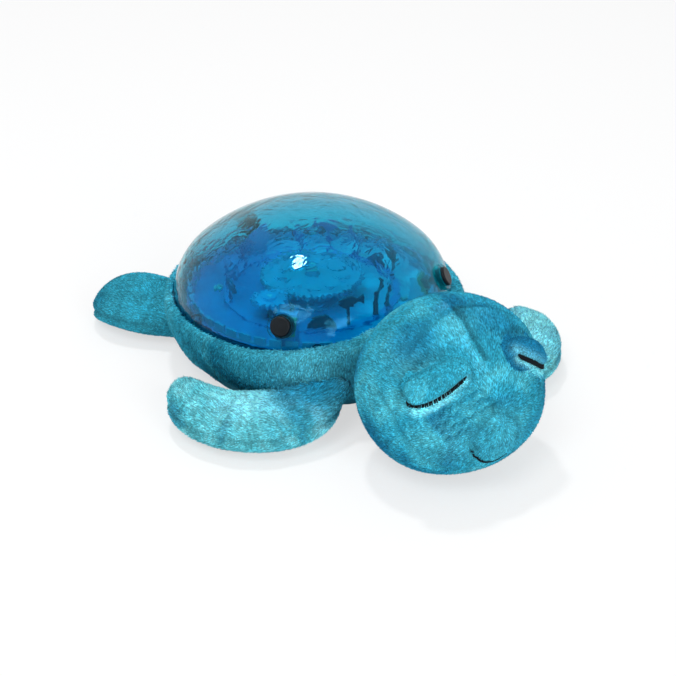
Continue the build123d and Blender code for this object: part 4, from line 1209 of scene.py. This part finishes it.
class NIGHTLIGHT_OT_stage(bpy.types.Operator):
    """Sets the floor, the lamps and the camera."""

    bl_idname = "nightlight.stage"
    bl_label = "Stage"

    def execute(self, context):
        stage = context.scene.stage
        bpy.ops.object.select_all(action="DESELECT")
        bpy.ops.mesh.primitive_plane_add(size=FLOOR_SIZE, location=(0.0, 0.0, FLOOR_DROP))
        floor = bpy.context.active_object
        floor.name = "floor"
        finish = Finish("pale_floor", Roughness=0.9, Specular_IOR_Level=0.1)
        finish.colour(finish.mix(finish.noise(3.0, 2.0), stage.floor, times(stage.floor, 0.99)))
        glow = finish.node("ShaderNodeEmission", None, {"Color": (1.0, 1.0, 1.0), "Strength": 1.0})
        seen = finish.node("ShaderNodeLightPath", out="Is Camera Ray")
        finish.show(finish.either(seen * stage.whiteness, finish.solid, glow))
        floor.data.materials.append(finish.material)
        self.sky(stage)
        for name, strength, place, size in LAMPS:
            self.lamp(name, place, size, getattr(stage, strength))
        self.camera(stage)
        context.scene.view_settings.view_transform = "Standard"
        return {"FINISHED"}

    def sky(self, stage):
        """Even light on the object, plain white where it is seen, mirrored or looked at through glass."""
        world = bpy.data.worlds.new("even_light")
        bpy.context.scene.world = world
        world.use_nodes = True
        nodes = Nodes(world.node_tree)
        seen, through, mirror = (nodes.node("ShaderNodeLightPath", out="Is " + ray + " Ray")
                                 for ray in ("Camera", "Transmission", "Glossy"))
        level = nodes.node("ShaderNodeMapRange", None, {
            "Value": seen | through | mirror, "To Min": stage.sky, "To Max": 1.0})
        backdrop = world.node_tree.nodes["Background"]
        nodes.feed(backdrop.inputs["Color"], (1.0, 1.0, 1.0))
        nodes.feed(backdrop.inputs["Strength"], level)

    def lamp(self, name, place, size, strength):
        light = bpy.data.lights.new(name, "AREA")
        light.shape = "DISK"
        light.size = size
        light.energy = strength
        lamp = bpy.data.objects.new(name, light)
        bpy.context.scene.collection.objects.link(lamp)
        lamp.location = place
        lamp.rotation_euler = (Vector(LAMP_AIM) - Vector(place)).to_track_quat("-Z", "Y").to_euler()

    def camera(self, stage):
        camera = bpy.data.objects.new("camera", bpy.data.cameras.new("camera"))
        bpy.context.scene.collection.objects.link(camera)
        flat = math.cos(stage.elevation)
        back = Vector((math.sin(stage.azimuth) * flat, -math.cos(stage.azimuth) * flat,
                       math.sin(stage.elevation)))
        camera.location = Vector(stage.aim) + back * stage.distance
        camera.rotation_euler = (-back).to_track_quat("-Z", "Y").to_euler()
        camera.data.lens = stage.lens
        camera.data.sensor_width = 36.0
        camera.data.clip_start = 0.05
        camera.data.clip_end = 50.0
        bpy.context.scene.camera = camera


STEPS = (NIGHTLIGHT_OT_stage, NIGHTLIGHT_OT_works, NIGHTLIGHT_OT_shell, NIGHTLIGHT_OT_body,
         NIGHTLIGHT_OT_head, NIGHTLIGHT_OT_eyelids, NIGHTLIGHT_OT_embroidery, NIGHTLIGHT_OT_flippers,
         NIGHTLIGHT_OT_tail)


class NIGHTLIGHT_PT_panel(bpy.types.Panel):
    """Lists the steps that build the night light."""

    bl_label = "Night light"
    bl_idname = "NIGHTLIGHT_PT_panel"
    bl_space_type = "VIEW_3D"
    bl_region_type = "UI"
    bl_category = "Night light"

    def draw(self, context):
        for step in STEPS:
            self.layout.operator(step.bl_idname)
        for group in (context.scene.plush, context.scene.shell, context.scene.stage):
            for name in group.__annotations__:
                self.layout.prop(group, name)


CLASSES = (PlushSettings, ShellSettings, StageSettings, *STEPS, NIGHTLIGHT_PT_panel)


def register():
    for part in CLASSES:
        bpy.utils.register_class(part)
    bpy.types.Scene.plush = PointerProperty(type=PlushSettings)
    bpy.types.Scene.shell = PointerProperty(type=ShellSettings)
    bpy.types.Scene.stage = PointerProperty(type=StageSettings)


def unregister():
    for name in ("plush", "shell", "stage"):
        delattr(bpy.types.Scene, name)
    for part in reversed(CLASSES):
        bpy.utils.unregister_class(part)


def main():
    register()
    for step in STEPS:
        group, name = step.bl_idname.split(".")
        getattr(getattr(bpy.ops, group), name)()


if __name__ == "__main__":
    main()
